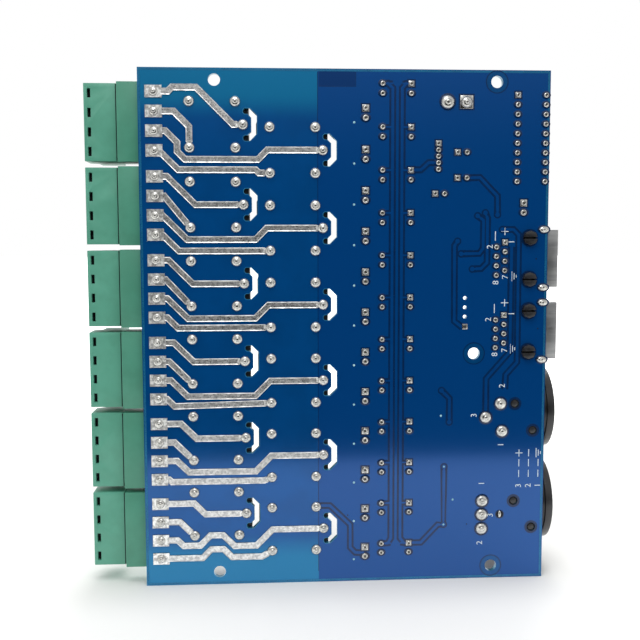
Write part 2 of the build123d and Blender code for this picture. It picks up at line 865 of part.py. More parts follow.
# Surface mounted parts: one driver and one diode a channel, and the control parts
with BuildPart() as surface_parts:
    drivers = [(driver_x, z + driver_offset) for _, z in optos]
    diodes = [(diode_x, z) for _, z in optos]
    with Locations(*on_face(drivers, deck + driver_size[2] / 2)):
        Box(driver_size[0], driver_size[2], driver_size[1])
    with Locations(*on_face(diodes, deck + diode_size[2] / 2)):
        Box(diode_size[0], diode_size[2], diode_size[1])
    for x, z, across, up, height in flat_parts.values():
        with Locations(*on_face([(x, z)], deck + height / 2)):
            Box(across, height, up)
keep(surface_parts.part, "surface_parts")

# Data sockets: a folded metal shell round a moulded insert whose split pegs snap into the board
socket_face = right + socket_front
socket_back = socket_face - socket_depth
socket_top = deck + socket_height
insert_width = socket_width - 2 * shell_wall
mouth_bottom = deck + socket_mouth_floor
mouth_top = mouth_bottom + socket_mouth_height
peg_x = left + from_right(socket_peg_from_right)

with BuildPart() as data_socket_shells:
    for z in socket_places_z:
        with BuildSketch(end_at(socket_back)):
            with Locations((deck + socket_height / 2, bottom + z)):
                Rectangle(socket_height, socket_width)
        extrude(amount=socket_depth)
        with BuildSketch(end_at(socket_back + shell_wall)):
            with Locations((deck + (socket_height - shell_wall) / 2, bottom + z)):
                Rectangle(socket_height - shell_wall, insert_width)
        extrude(amount=socket_depth - shell_wall, mode=Mode.SUBTRACT)
keep(data_socket_shells.part, "data_socket_shells")

with BuildPart() as data_socket_inserts:
    for z in socket_places_z:
        with BuildSketch(end_at(socket_back + shell_wall)):
            with Locations((deck + (socket_height - shell_wall) / 2, bottom + z)):
                Rectangle(socket_height - shell_wall, insert_width)
        extrude(amount=socket_depth - 2 * shell_wall)
        with BuildSketch(end_at(socket_face - shell_wall)):
            with Locations(((mouth_bottom + mouth_top) / 2, bottom + z)):
                Rectangle(socket_mouth_height, socket_mouth_width)
            with Locations((mouth_bottom - socket_key_height / 2, bottom + z)):
                Rectangle(socket_key_height, socket_key_width)
        extrude(amount=-socket_mouth_depth, mode=Mode.SUBTRACT)
    with BuildSketch(face_at(deck)):
        with Locations(*in_frame(socket_pegs)):
            RegularPolygon(peg_diameter / 2, peg_sides)
    extrude(amount=board_thickness, dir=towards)
    with BuildSketch(face_at(0)):
        with Locations(*in_frame(socket_pegs)):
            RegularPolygon(peg_head_diameter / 2, peg_sides)
    extrude(amount=peg_head_height, dir=towards)
    with BuildSketch(face_at(-peg_head_height)):
        with Locations(*in_frame(socket_pegs)):
            Rectangle(peg_head_diameter, peg_slit)
    extrude(amount=peg_head_height + board_thickness / 2, dir=away, mode=Mode.SUBTRACT)
keep(data_socket_inserts.part, "data_socket_inserts")

contact_back = socket_face - shell_wall - socket_mouth_depth
with BuildPart() as data_socket_contacts:
    with Locations(*[
        (
            contact_back + contact_length / 2,
            deck + contact_height,
            bottom + z + contact_pitch * ((contact_count - 1) / 2 - i),
        )
        for z in socket_places_z
        for i in range(contact_count)
    ]):
        Box(contact_length, contact_size, contact_size)
keep(data_socket_contacts.part, "data_socket_contacts")

# Round three pole connectors, with a round flange in front of a moulded body that stands on the board
flange_face = right + round_front
flange_back = flange_face - flange_thickness
body_front = right - round_body_setback
body_back = flange_back - round_body_depth
axis_y = deck + round_axis_height


def round_body(z, pegs):
    """Body, collar, flange and locating pegs that both round connectors share."""
    with BuildPart() as housing:
        with BuildSketch(end_at(body_back)):
            with Locations((deck + round_body_height / 2, bottom + z)):
                Rectangle(round_body_height, round_body_width)
            chamfer(vertices().group_by(Axis.Y)[-1], round_body_corner)
        extrude(amount=body_front - body_back)
        with BuildSketch(end_at(body_front)):
            with Locations((axis_y, bottom + z)):
                RegularPolygon(collar_radius, round_sides)
        extrude(amount=flange_back - body_front)
        with BuildSketch(end_at(flange_back)):
            with Locations((axis_y, bottom + z)):
                RegularPolygon(flange_radius, round_sides)
        extrude(amount=flange_thickness)
        with BuildSketch(face_at(deck)):
            with Locations(*in_frame(pegs)):
                RegularPolygon(round_peg_diameter / 2, peg_sides)
        extrude(amount=board_thickness - round_peg_flush, dir=towards)
    return housing.part


with BuildPart() as female_connector:
    add(round_body(female_z, female_pegs))
    with BuildSketch(end_at(flange_face)):
        with Locations((axis_y, bottom + female_z)):
            RegularPolygon(mouth_radius, round_sides)
            RegularPolygon(core_radius, round_sides, mode=Mode.SUBTRACT)
    extrude(amount=-mouth_depth, mode=Mode.SUBTRACT)
    with BuildSketch(end_at(flange_face)):
        with Locations((axis_y, bottom + female_z)):
            with PolarLocations(contact_circle_radius, round_poles):
                RegularPolygon(contact_socket_diameter / 2, contact_socket_sides)
    extrude(amount=-contact_socket_depth, mode=Mode.SUBTRACT)
    with BuildSketch(face_at(axis_y + mouth_radius - latch_gap)):
        with Locations((flange_face - latch_length / 2, bottom + female_z)):
            Rectangle(latch_length + 2 * latch_gap, latch_width + 2 * latch_gap)
    extrude(amount=flange_radius, dir=away, mode=Mode.SUBTRACT)
keep(female_connector.part, "female_connector")

latch_bottom = axis_y + mouth_radius + latch_travel - latch_gap
with BuildPart() as connector_latch:
    with BuildSketch(face_at(latch_bottom)):
        with Locations((flange_face - latch_length / 2, bottom + female_z)):
            Rectangle(latch_length, latch_width)
    extrude(amount=latch_height, dir=away)
keep(connector_latch.part, "connector_latch")

with BuildPart() as male_connector:
    add(round_body(male_z, male_pegs))
    with BuildSketch(end_at(flange_face)):
        with Locations((axis_y, bottom + male_z)):
            RegularPolygon(male_mouth_radius, round_sides)
    extrude(amount=-mouth_depth, mode=Mode.SUBTRACT)
keep(male_connector.part, "male_connector")

with BuildPart() as connector_pins:
    with BuildSketch(end_at(flange_face - mouth_depth)):
        with Locations((axis_y, bottom + male_z)):
            with PolarLocations(contact_circle_radius, round_poles):
                RegularPolygon(contact_pin_diameter / 2, contact_pin_sides)
    extrude(amount=contact_pin_length)
keep(connector_pins.part, "connector_pins")
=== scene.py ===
"""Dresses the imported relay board: solder, mask, print, moulded cases and metal, lit as in the photograph."""

import logging
import math
import random
from dataclasses import dataclass
from enum import Enum
from typing import Callable, Iterable, Sequence

import bmesh
import bpy
from mathutils import Matrix, Quaternion, Vector


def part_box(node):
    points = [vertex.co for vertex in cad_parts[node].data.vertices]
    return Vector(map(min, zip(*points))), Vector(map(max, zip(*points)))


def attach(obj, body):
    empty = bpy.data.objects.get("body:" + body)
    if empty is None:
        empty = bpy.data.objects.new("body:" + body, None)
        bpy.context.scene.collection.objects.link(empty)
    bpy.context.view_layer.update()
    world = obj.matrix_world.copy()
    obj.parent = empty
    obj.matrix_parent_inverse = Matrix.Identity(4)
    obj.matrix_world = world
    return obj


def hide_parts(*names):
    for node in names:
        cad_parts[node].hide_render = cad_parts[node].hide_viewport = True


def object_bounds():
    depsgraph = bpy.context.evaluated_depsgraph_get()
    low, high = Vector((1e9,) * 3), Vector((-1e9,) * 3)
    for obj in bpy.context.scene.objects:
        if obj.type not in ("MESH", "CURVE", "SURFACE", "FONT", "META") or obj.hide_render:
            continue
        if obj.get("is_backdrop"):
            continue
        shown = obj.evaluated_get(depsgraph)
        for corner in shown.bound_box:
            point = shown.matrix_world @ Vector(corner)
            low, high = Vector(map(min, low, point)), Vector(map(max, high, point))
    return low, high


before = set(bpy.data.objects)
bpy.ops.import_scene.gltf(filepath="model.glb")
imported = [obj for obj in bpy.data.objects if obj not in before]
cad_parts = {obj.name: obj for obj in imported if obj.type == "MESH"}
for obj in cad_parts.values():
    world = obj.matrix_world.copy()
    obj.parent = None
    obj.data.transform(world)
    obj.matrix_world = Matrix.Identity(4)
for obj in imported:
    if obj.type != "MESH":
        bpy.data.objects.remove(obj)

MM = 0.001
LOG = logging.getLogger("relay_board")
BOARD_BODY = "board"
SQUARE_ON = 0.99  # a normal's share along an axis from which a face counts as square to it
HAIR = 0.01 * MM  # levels closer than this are taken as one
WELD = 0.0005 * MM  # corners of a made part closer than this are joined
MOTTLE_SPAN = (0.35, 0.65)  # the part of the slow noise that a finish's colour wanders over
GLOSS_SPAN = (0.3, 0.7)  # the part of the fine noise that its gloss wanders over
LEAST_ROUGHNESS = 0.02
POUR_X = 47.0  # the copper pour starts here, in millimetres from the board's left edge
OPTO_PINS_X = (64.29, 71.91)
Place = tuple[float, float]
Route = Sequence[Place]
Material = bpy.types.Material
Socket = bpy.types.NodeSocket
Mesh = bmesh.types.BMesh


def linear(colour: str) -> tuple[float, float, float, float]:
    """Turns an sRGB hex colour into the linear one that a shader takes.

    Args:
        colour: six hex digits after a hash.

    Returns:
        Red, green, blue and an alpha of 1.
    """
    parts = [int(colour[i:i + 2], 16) / 255 for i in (1, 3, 5)]
    red, green, blue = [c / 12.92 if c <= 0.04045 else ((c + 0.055) / 1.055) ** 2.4 for c in parts]
    return red, green, blue, 1.0


def add_node(
    tree: bpy.types.NodeTree,
    kind: str,
    settings: dict[str | int, object] | None = None,
    links: dict[str | int, Socket] | None = None,
) -> bpy.types.Node:
    """Adds a shader node with its settings and links.

    Args:
        tree: the material's or the world's node tree.
        kind: the node's type.
        settings: values by the name or number of an input, or by the name of a property.
        links: the sockets that feed its inputs, by the input's name or number.

    Returns:
        The new node.
    """
    node = tree.nodes.new(kind)
    for key, value in (settings or {}).items():
        if isinstance(key, int) or key in node.inputs:
            node.inputs[key].default_value = value
        else:
            setattr(node, key, value)
    for key, socket in (links or {}).items():
        tree.links.new(socket, node.inputs[key])
    return node


def calculate(tree: bpy.types.NodeTree, operation: str, *values: Socket | float) -> Socket:
    """Adds a calculation to a node tree.

    Args:
        tree: the node tree.
        operation: the name of what is calculated.
        values: its inputs in their order, as sockets or numbers.

    Returns:
        The result.
    """
    links = {i: value for i, value in enumerate(values) if isinstance(value, Socket)}
    numbers = {i: value for i, value in enumerate(values) if i not in links}
    return add_node(tree, "ShaderNodeMath", {"operation": operation, **numbers}, links).outputs[0]


def ramp(
    tree: bpy.types.NodeTree, value: Socket, span: Place, gives: Place = (0.0, 1.0), curve: str = "SMOOTHSTEP"
) -> Socket:
    """Adds a ramp to a node tree.

    Args:
        tree: the node tree.
        value: what the ramp follows.
        span: where it starts and ends.
        gives: what it gives there.
        curve: the name of its form.

    Returns:
        The ramp's value.
    """
    settings = {"From Min": span[0], "From Max": span[1], "To Min": gives[0], "To Max": gives[1]}
    settings["interpolation_type"] = curve
    return add_node(tree, "ShaderNodeMapRange", settings, {"Value": value}).outputs["Result"]


@dataclass(frozen=True)
class Finish:
    """A surface finish: one shader whose colour, gloss and relief a noise breaks up.

    The colour wanders towards the shade over the mottle size. The grain is the size of the surface's own
    texture, and the relief is how deep it is.
    """

    name: str
    colour: str
    shade: str
    roughness: float
    metallic: float = 0.0
    ior: float = 1.5
    mottle_mm: float = 4.0
    grain_mm: float = 0.25
    relief_mm: float = 0.004
    gloss_spread: float = 0.08
    transmission: float = 0.0
    grain_along: tuple[float, float, float] = (1.0, 1.0, 1.0)

    def colour_socket(self, tree: bpy.types.NodeTree, place: Socket, mottle: Socket) -> Socket:
        """Mixes the colour and its shade.

        Args:
            tree: the material's node tree.
            place: the object coordinates, not used here.
            mottle: the slow noise.

        Returns:
            The socket that gives the base colour.
        """
        settings = {"data_type": "RGBA", 6: linear(self.colour), 7: linear(self.shade)}
        return add_node(tree, "ShaderNodeMix", settings, {0: mottle}).outputs[2]

    def material(self) -> Material:
        """Builds the node material once, and returns the same one after that.

        Returns:
            The material that this finish stands for.
        """
        found = bpy.data.materials.get(self.name)
        if found:
            return found
        made = bpy.data.materials.new(self.name)
        made.use_nodes = True
        tree = made.node_tree
        tree.nodes.clear()
        place = add_node(tree, "ShaderNodeTexCoord").outputs["Object"]
        along = add_node(tree, "ShaderNodeMapping", {"Scale": self.grain_along}, {"Vector": place})
        slow, fine = (
            add_node(
                tree, "ShaderNodeTexNoise", {"Scale": 1 / (size * MM), "Detail": detail, "Roughness": rough},
                {"Vector": along.outputs["Vector"]},
            ).outputs["Fac"]
            for size, detail, rough in ((self.mottle_mm, 3.0, 0.55), (self.grain_mm, 2.0, 0.5))
        )
        mottle = ramp(tree, slow, MOTTLE_SPAN)
        shiniest = max(self.roughness - self.gloss_spread, LEAST_ROUGHNESS)
        gloss = ramp(tree, fine, GLOSS_SPAN, (shiniest, self.roughness + self.gloss_spread), "LINEAR")
        bump = add_node(
            tree, "ShaderNodeBump", {"Strength": 1.0, "Distance": self.relief_mm * MM}, {"Height": fine}
        )
        settings: dict[str | int, object] = {
            "Metallic": self.metallic, "Transmission Weight": self.transmission,
        }
        if not self.metallic:
            settings["IOR"] = self.ior
        links = {
            "Base Color": self.colour_socket(tree, place, mottle), "Roughness": gloss,
            "Normal": bump.outputs["Normal"],
        }
        shader = add_node(tree, "ShaderNodeBsdfPrincipled", settings, links)
        add_node(tree, "ShaderNodeOutputMaterial", links={"Surface": shader.outputs["BSDF"]})
        return made


@dataclass(frozen=True)
class MaskFinish(Finish):
    """Solder mask over laminate: deep blue over the copper pour, greener and paler where there is none.

    Its zones are boxes on the board, in millimetres of the row frame. Beyond the relays, near the upper and
    lower edge, the light that comes through the laminate is painted into its colour as a paler teal glow. The
    board's cut edges show the laminate.
    """

    pour_from_mm: float = 0.0
    pour_to_mm: float = 1000.0
    pour_colour: str = "#00478b"
    # painted glow: the light that comes through the bare laminate near its upper and lower edge, as a paler
    # teal
    open_colour: str = "#0b72a2"
    open_from_mm: float = 55.0
    open_over_mm: float = 8.0
    edge_colour: str = "#2f7f9c"
    field_colour: str = "#003670"
    field_mm: tuple[float, float, float, float] = (0.0, 0.0, 0.0, 0.0)
    thickness_mm: float = 1.6
    rim_mm: float = 0.03

    def within(self, tree: bpy.types.NodeTree, value: Socket, low_mm: float, high_mm: float) -> Socket:
        """Gives 1 where a coordinate in metres is between two limits, and 0 elsewhere."""
        return calculate(tree, "COMPARE", value, (low_mm + high_mm) / 2 * MM, (high_mm - low_mm) / 2 * MM)

    def colour_socket(self, tree: bpy.types.NodeTree, place: Socket, mottle: Socket) -> Socket:
        """Lays the pour, the bare field and the cut edges over the mask's own colour.

        Args:
            tree: the material's node tree.
            place: the object coordinates.
            mottle: the slow noise.

        Returns:
            The socket that gives the base colour.
        """
        axes = add_node(tree, "ShaderNodeSeparateXYZ", links={0: place}).outputs
        low_x, low_z, high_x, high_z = self.field_mm
        pour = self.within(tree, axes[0], self.pour_from_mm, self.pour_to_mm)
        across, up = self.within(tree, axes[0], low_x, high_x), self.within(tree, axes[2], low_z, high_z)
        field = calculate(tree, "MULTIPLY", across, up)
        edge = self.within(tree, axes[1], self.rim_mm, self.thickness_mm - self.rim_mm)
        painted_glow_to_mm = self.open_from_mm + self.open_over_mm
        from_middle = calculate(tree, "ABSOLUTE", axes[2])
        # painted glow: rises to 1 beyond the relays, near the upper and lower edge
        beyond = ramp(tree, from_middle, (self.open_from_mm * MM, painted_glow_to_mm * MM))
        colour = super().colour_socket(tree, place, mottle)
        zones = (
            (beyond, self.open_colour), (pour, self.pour_colour), (field, self.field_colour),
            (edge, self.edge_colour),
        )
        for factor, over in zones:
            settings = {"data_type": "RGBA", 7: linear(over)}
            colour = add_node(tree, "ShaderNodeMix", settings, {0: factor, 6: colour}).outputs[2]
        return colour


# Solder mask, screened and cured over copper clad laminate: a clear blue film. The copper shines through it,
# so part of its reflection is blue, and the rest is the soft, clear one of its surface
MASK = MaskFinish(
    "solder_mask_over_laminate", "#004f92", "#004b8b", 0.12, metallic=0.35, gloss_spread=0.02, ior=1.55,
    mottle_mm=9.0, grain_mm=0.5, relief_mm=0.0015, pour_from_mm=-10.4, field_mm=(-10.1, 64.7, -0.4, 69.1),
)
# The same mask over the groove round a trace, where no copper lies below: darker, as it stands in shade
GROOVE = Finish("solder_mask_in_groove", "#00264f", "#002249", 0.2, ior=1.45)
# The mask over a covered trace: the pour's blue
TRACE = Finish("solder_mask_over_trace", "#00478c", "#004488", 0.16, metallic=0.35)
# Mask where the pour is left out round a screw hole: the laminate below turns it greener
CLEARANCE = Finish("solder_mask_over_clearance", "#004c86", "#004880", 0.16, metallic=0.35)
# Laminate at a cut edge under thin mask: paler, and the light that it lets through is painted in, so it shows
# as a teal rim; the same round the milled slots
RIM = Finish("laminate_under_thin_mask_with_painted_glow", "#0f6690", "#0c5c84", 0.3, metallic=0.3)
SLOT_RIM = Finish("laminate_at_milled_slot_with_painted_glow", "#1a6d94", "#14618a", 0.35, ior=1.5)
# Painted shade: open holes and pin holes in the tinning, which show nothing but shade, and the seams, score
# lines, dimples and slots that take it
PAINTED_SHADE = Finish("painted_shade_nearly_black", "#05080c", "#080c12", 0.7, ior=1.3)
# Covered via: mask stretched over a filled hole, paler than what lies round it
VIA = Finish("solder_mask_over_via", "#a9d2d8", "#86bac6", 0.35, ior=1.55)
# Solder levelled by hot air over copper: lumpy and mottled, bright at its edges
TINNED = Finish(
    "tinned_copper_hot_levelled", "#d9d9d7", "#acadae", 0.37, metallic=1.0,
    mottle_mm=0.8, grain_mm=0.28, relief_mm=0.013, gloss_spread=0.14,
)
# The sloped, rounded edge of that tin, painted paler as a highlight along the track's rim
TIN_EDGE_HIGHLIGHT = Finish(
    "tinned_copper_edge_painted_highlight", "#ececea", "#a6a6a4", 0.42, metallic=1.0,
    mottle_mm=2.6, grain_mm=0.4, relief_mm=0.006, gloss_spread=0.1,
)
# The same tin on the wide terminal pads, where it stood longer in the bath: frosted and paler
FROSTED = Finish(
    "tinned_pad_frosted", "#f2f2ef", "#a9a9a8", 0.46, metallic=1.0,
    mottle_mm=0.9, grain_mm=0.22, relief_mm=0.03, gloss_spread=0.16,
)
# Wave soldered joint: a bright, nearly smooth metal
SOLDER = Finish(
    "solder_wave_soldered", "#c6c5c0", "#a2a29e", 0.24, metallic=1.0,
    mottle_mm=0.7, grain_mm=0.6, relief_mm=0.018, gloss_spread=0.08,
)
# Tin plated lead end, dulled by the cut
LEAD = Finish("tin_plated_lead_cut", "#64635f", "#4b4a46", 0.45, metallic=1.0, mottle_mm=0.4)
# Polyester moulded in a spark eroded tool: matt black with a fine even grain
RELAY_CASE = Finish(
    "polyester_moulded_black", "#17181a", "#1b1c1f", 0.48, mottle_mm=6.0, grain_mm=0.3, relief_mm=0.012
)
# Polyamide moulded in a polished tool: satin green, faintly cloudy
PLUG_GREEN = Finish(
    "polyamide_moulded_green", "#579e87", "#51967f", 0.42, ior=1.53, mottle_mm=7.0, grain_mm=0.35,
    relief_mm=0.006,
)
# The headers' copy of the same polyamide, painted darker as the shade that falls on them near the board
HEADER_GREEN_PAINTED_SHADE = Finish(
    "polyamide_moulded_header_green_painted_shade", "#468d75", "#40856d", 0.42, ior=1.53, mottle_mm=7.0, grain_mm=0.35,
    relief_mm=0.006,
)
# Glass filled nylon: near black, satin, with a slight orange peel
NYLON = Finish(
    "nylon_glass_filled_black", "#141416", "#1a1a1d", 0.36, ior=1.53, grain_mm=0.5, relief_mm=0.01
)
# Epoxy moulded chip package: dark grey, matt
EPOXY = Finish("epoxy_moulded_package", "#1d1d20", "#242428", 0.55, grain_mm=0.2, relief_mm=0.006)
# Tin plated steel sheet, drawn along the socket's depth: satin with long faint lines
TINPLATE = Finish(
    "tin_plated_steel_sheet", "#cdcdca", "#c0c0bd", 0.36, metallic=1.0, mottle_mm=6.0, grain_mm=0.3,
    relief_mm=0.0015, gloss_spread=0.05, grain_along=(0.12, 1.0, 1.0),
)
# A darker, duller copy of the same sheet: painted shade on the lip folded under each shell; the regulator's
# tab and back plate take it too
TINPLATE_SHADED = Finish(
    "tin_plated_steel_painted_shade", "#a2a3a3", "#8c8d8e", 0.42, metallic=1.0, mottle_mm=2.0, grain_mm=0.3,
    relief_mm=0.003, grain_along=(0.12, 1.0, 1.0),
)
# Zinc plated steel, tumbled: a bluish satin metal
ZINC = Finish("zinc_plated_steel_tumbled", "#c4c8cc", "#a6abb0", 0.32, metallic=1.0, mottle_mm=0.8)
# Tin plated brass pin
TIN_PIN = Finish("tin_plated_brass_pin", "#cfcdc6", "#b5b3aa", 0.25, metallic=1.0, mottle_mm=0.6)
# Gold flashed phosphor bronze spring
GOLD = Finish("gold_flashed_bronze", "#d8ab4c", "#c79a3e", 0.24, metallic=1.0, mottle_mm=0.8)
# Aluminium can, drawn
ALUMINIUM = Finish("aluminium_can_drawn", "#cfd1d3", "#b9bcc0", 0.3, metallic=1.0, mottle_mm=1.5)
# Heat shrunk PVC sleeve: glossy black
SLEEVE = Finish("pvc_sleeve_shrunk", "#15161a", "#1b1d22", 0.24, mottle_mm=3.0)
SLEEVE_STRIPE = Finish("pvc_sleeve_stripe", "#b9bcc0", "#aeb1b6", 0.3, mottle_mm=2.0)
# Cast tinted epoxy lens: clear and deep coloured
RED_LENS = Finish(
    "epoxy_lens_red", "#c01c14", "#a8140e", 0.1, ior=1.54, transmission=0.35, relief_mm=0.0, grain_mm=1.0
)
GREEN_LENS = Finish(
    "epoxy_lens_green", "#1c9a3c", "#158732", 0.1, ior=1.54, transmission=0.35, relief_mm=0.0, grain_mm=1.0
)
# White nylon slider, moulded
SLIDER = Finish("nylon_moulded_white", "#e3e2dc", "#d8d7d0", 0.4, mottle_mm=1.0)
SWITCH_CASE = Finish("polyester_moulded_switch", "#15161a", "#1a1b20", 0.45, mottle_mm=3.0, grain_mm=0.2)
# Alumina chip body with a black glaze, and its tinned ends
CHIP_GLAZE = Finish("alumina_chip_glazed", "#1c1b1f", "#232227", 0.3, mottle_mm=0.6)
CERAMIC = Finish("ceramic_chip_fired", "#a58a62", "#977c56", 0.4, mottle_mm=0.6)
# Sintered ferrite: dark grey, slightly metallic lustre
FERRITE = Finish("ferrite_sintered", "#2b2b2e", "#37373b", 0.45, mottle_mm=1.0)
COPPER_WIRE = Finish("copper_wire_enamelled", "#a4562c", "#8c4622", 0.25, metallic=1.0, mottle_mm=1.0)
# Screened epoxy ink: matt white, thin enough for the mask to tint it
INK = Finish("epoxy_ink_screened", "#dde6ea", "#c3d2dc", 0.55, mottle_mm=0.6, relief_mm=0.002)


class Facing(Enum):
    """Directions that a turned part's axis can point in."""

    SOLDER_SIDE = Vector((0, -1, 0))
    PART_SIDE = Vector((0, 1, 0))
    LEFT = Vector((-1, 0, 0))

    def at(self, point: Vector) -> Matrix:
        """Turns and moves a part made along +Z so that its axis points this way from a point."""
        turn = Vector((0, 0, 1)).rotation_difference(self.value)
        return Matrix.LocRotScale(point, turn, None)


def merged_copy(node: str) -> Mesh:
    """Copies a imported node's mesh and joins its loose triangles.

    Args:
        node: the node's name.

    Returns:
        The joined mesh, with flat faces as single polygons where that can be.
    """
    part = bmesh.new()
    part.from_mesh(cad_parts[node].data)
    bmesh.ops.remove_doubles(part, verts=part.verts, dist=0.002 * MM)
    flat = math.radians(0.5)
    bmesh.ops.dissolve_limit(part, angle_limit=flat, verts=part.verts, edges=part.edges)
    return part


def connected(
    corners: Iterable[bmesh.types.BMVert], follow: Callable[[bmesh.types.BMEdge], bool]
) -> list[list[bmesh.types.BMVert]]:
    """Groups the corners that edges join.

    Args:
        corners: what is grouped.
        follow: tells whether an edge joins its two ends.

    Returns:
        The groups.
    """
    left = dict.fromkeys(corners)
    found = []
    while left:
        group = [left.popitem()[0]]
        for vertex in group:  # grows while it is read
            for edge in vertex.link_edges:
                for other in edge.verts:
                    if other in left and follow(edge):
                        del left[other]
                        group.append(other)
        found.append(group)
    return found


def islands(node: str) -> list[tuple[Vector, Vector, int]]:
    """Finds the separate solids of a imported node.

    Args:
        node: the node's name.

    Returns:
        The lowest corner, the highest corner and the number of corners of each solid.
    """
    part = merged_copy(node)
    found = []
    for group in connected(part.verts, lambda edge: True):
        low = Vector([min(v.co[i] for v in group) for i in range(3)])
        high = Vector([max(v.co[i] for v in group) for i in range(3)])
        found.append((low, high, len(group)))
    part.free()
    return sorted(found, key=lambda solid: tuple(round(c, 6) for c in solid[0]))


def centre(low: Vector, high: Vector, y: float) -> Vector:
    """Gives the middle of a box in X and Z, at a given Y."""
    return Vector(((low.x + high.x) / 2, y, (low.z + high.z) / 2))


def round_edges(part: Mesh, edges: Sequence[bmesh.types.BMEdge], width: float, segments: int) -> None:
    """Rounds chosen edges of a part by a width in millimetres."""
    bmesh.ops.bevel(
        part, geom=edges, offset=width * MM, offset_type="OFFSET", segments=segments, profile=0.5,
        affect="EDGES", material=-1, clamp_overlap=True,
    )


def bevelled(
    part: Mesh, width: float, segments: int = 2, over_deg: float = 35.0, along: Vector | None = None
) -> Mesh:
    """Rounds a part's sharp edges.

    Args:
        part: the mesh, changed in place.
        width: the rounding in millimetres.
        segments: how many faces the rounding has.
        over_deg: only edges that turn by more than this are rounded.
        along: only edges that run this way are rounded, if it is given.

    Returns:
        The same mesh.
    """
    limit = math.radians(over_deg)
    sharp = [e for e in part.edges if len(e.link_faces) == 2 and e.calc_face_angle(0.0) > limit]
    if along is not None:
        ways = {e: (e.verts[1].co - e.verts[0].co).normalized() for e in sharp}
        sharp = [e for e in sharp if abs(ways[e].dot(along)) > SQUARE_ON]
    round_edges(part, sharp, width, segments)
    return part


def block(low: Vector, high: Vector, edge: float = 0.0, segments: int = 2) -> Mesh:
    """Makes a box with rounded edges.

    Args:
        low: its lowest corner, in metres.
        high: its highest corner, in metres.
        edge: the rounding in millimetres, none if 0.
        segments: how many faces the rounding has.

    Returns:
        The box.
    """
    part = bmesh.new()
    place = Matrix.LocRotScale((low + high) / 2, None, high - low)
    bmesh.ops.create_cube(part, size=1.0, matrix=place)
    return bevelled(part, edge, segments) if edge else part


def slab(foot: Vector, half: Vector, height: float, edge: float = 0.0, segments: int = 2) -> Mesh:
    """Makes a box that stands on a point.

    Args:
        foot: the point, in metres.
        half: how far the box reaches from it, in metres.
        height: how far it stands up beyond that, in millimetres.
        edge: the rounding in millimetres, none if 0.
        segments: how many faces the rounding has.

    Returns:
        The box.
    """
    return block(foot - half, foot + half + Vector((0.0, height * MM, 0.0)), edge, segments)


def turned(profile: Sequence[Place], sides: int = 24) -> Mesh:
    """Turns a profile about +Z.

    Args:
        profile: pairs of radius and height, in millimetres.
        sides: how many faces go round.

    Returns:
        The turned part.
    """
    part = bmesh.new()
    ring = [part.verts.new((radius * MM, 0.0, height * MM)) for radius, height in profile]
    line = [part.edges.new(pair) for pair in zip(ring, ring[1:])]
    bmesh.ops.spin(
        part, geom=ring + line, cent=(0, 0, 0), axis=(0, 0, 1), angle=math.tau, steps=sides, use_merge=True
    )
    bmesh.ops.remove_doubles(part, verts=part.verts, dist=WELD)
    bmesh.ops.recalc_face_normals(part, faces=part.faces)
    return part


def disc(radius: float, height: float, sides: int) -> Mesh:
    """Makes a flat disc on the origin from its radius and height in millimetres."""
    return turned([(radius, 0.0), (radius, height), (0.0, height)], sides)


def washer(inner: float, outer: float, height: float, sides: int) -> Mesh:
    """Makes a flat ring on the origin from its radii and height in millimetres."""
    return turned([(inner, 0.0), (inner, height), (outer, height), (outer, 0.0), (inner, 0.0)], sides)


def stand(name: str, data: bpy.types.ID) -> bpy.types.Object:
    """Makes an object of a mesh, a curve, a lamp or a camera and puts it in the scene."""
    made = bpy.data.objects.new(name, data)
    bpy.context.scene.collection.objects.link(made)
    return made


def shaped_data(source: bpy.types.Object) -> bpy.types.Mesh:
    """Gives an object's mesh after its modifiers."""
    bpy.context.view_layer.update()
    return bpy.data.meshes.new_from_object(source.evaluated_get(bpy.context.evaluated_depsgraph_get()))


def carved(body: Mesh, *tools: Mesh) -> Mesh:
    """Cuts tools out of a body.

    Args:
        body: the mesh that is cut.
        tools: the closed meshes taken away from it.

    Returns:
        What is left, as a new mesh.
    """
    made = []
    for part in (body, *tools):
        data = bpy.data.meshes.new("carving")
        part.to_mesh(data)
        made.append(stand("carving", data))
    for tool in made[1:]:
        cut = made[0].modifiers.new("cut", "BOOLEAN")
        cut.operation = "DIFFERENCE"
        cut.solver = "EXACT"
        cut.object = tool
    shaped = shaped_data(made[0])
    left = bmesh.new()
    left.from_mesh(shaped)
    bpy.data.meshes.remove(shaped)
    for used in made:
        data = used.data
        bpy.data.objects.remove(used)
        bpy.data.meshes.remove(data)
    return left


def from_curve(curve: bpy.types.Curve) -> Mesh:
    """Turns a curve or a text into a mesh and deletes it."""
    holder = stand("drawing", curve)
    data = shaped_data(holder)
    part = bmesh.new()
    part.from_mesh(data)
    bpy.data.objects.remove(holder)
    bpy.data.meshes.remove(data)
    bmesh.ops.remove_doubles(part, verts=part.verts, dist=WELD)
    return part


def ribbons(routes: Iterable[Route], width: float, height: float, closed: bool = False) -> Mesh:
    """Draws flat lines along routes on the plane Y = 0, with their upper half proud of it.

    Args:
        routes: points of each line, as X and Z in metres.
        width: the lines' width in millimetres.
        height: how far they stand proud, in millimetres.
        closed: joins each route's end to its start.

    Returns:
        The lines, half sunk in the plane.
    """
    curve = bpy.data.curves.new("lines", "CURVE")
    curve.dimensions = "3D"
    curve.bevel_depth = width / 2 * MM
    curve.bevel_resolution = 0
    curve.use_fill_caps = True
    for route in routes:
        spline = curve.splines.new("POLY")
        spline.points.add(len(route) - 1)
        for point, (x, z) in zip(spline.points, route):
            point.co = (x, 0.0, z, 1.0)
        spline.use_cyclic_u = closed
    part = from_curve(curve)
    flatten = Matrix.Diagonal((1.0, height / (width / 2), 1.0, 1.0))
    bmesh.ops.transform(part, matrix=flatten, verts=part.verts)
    return part


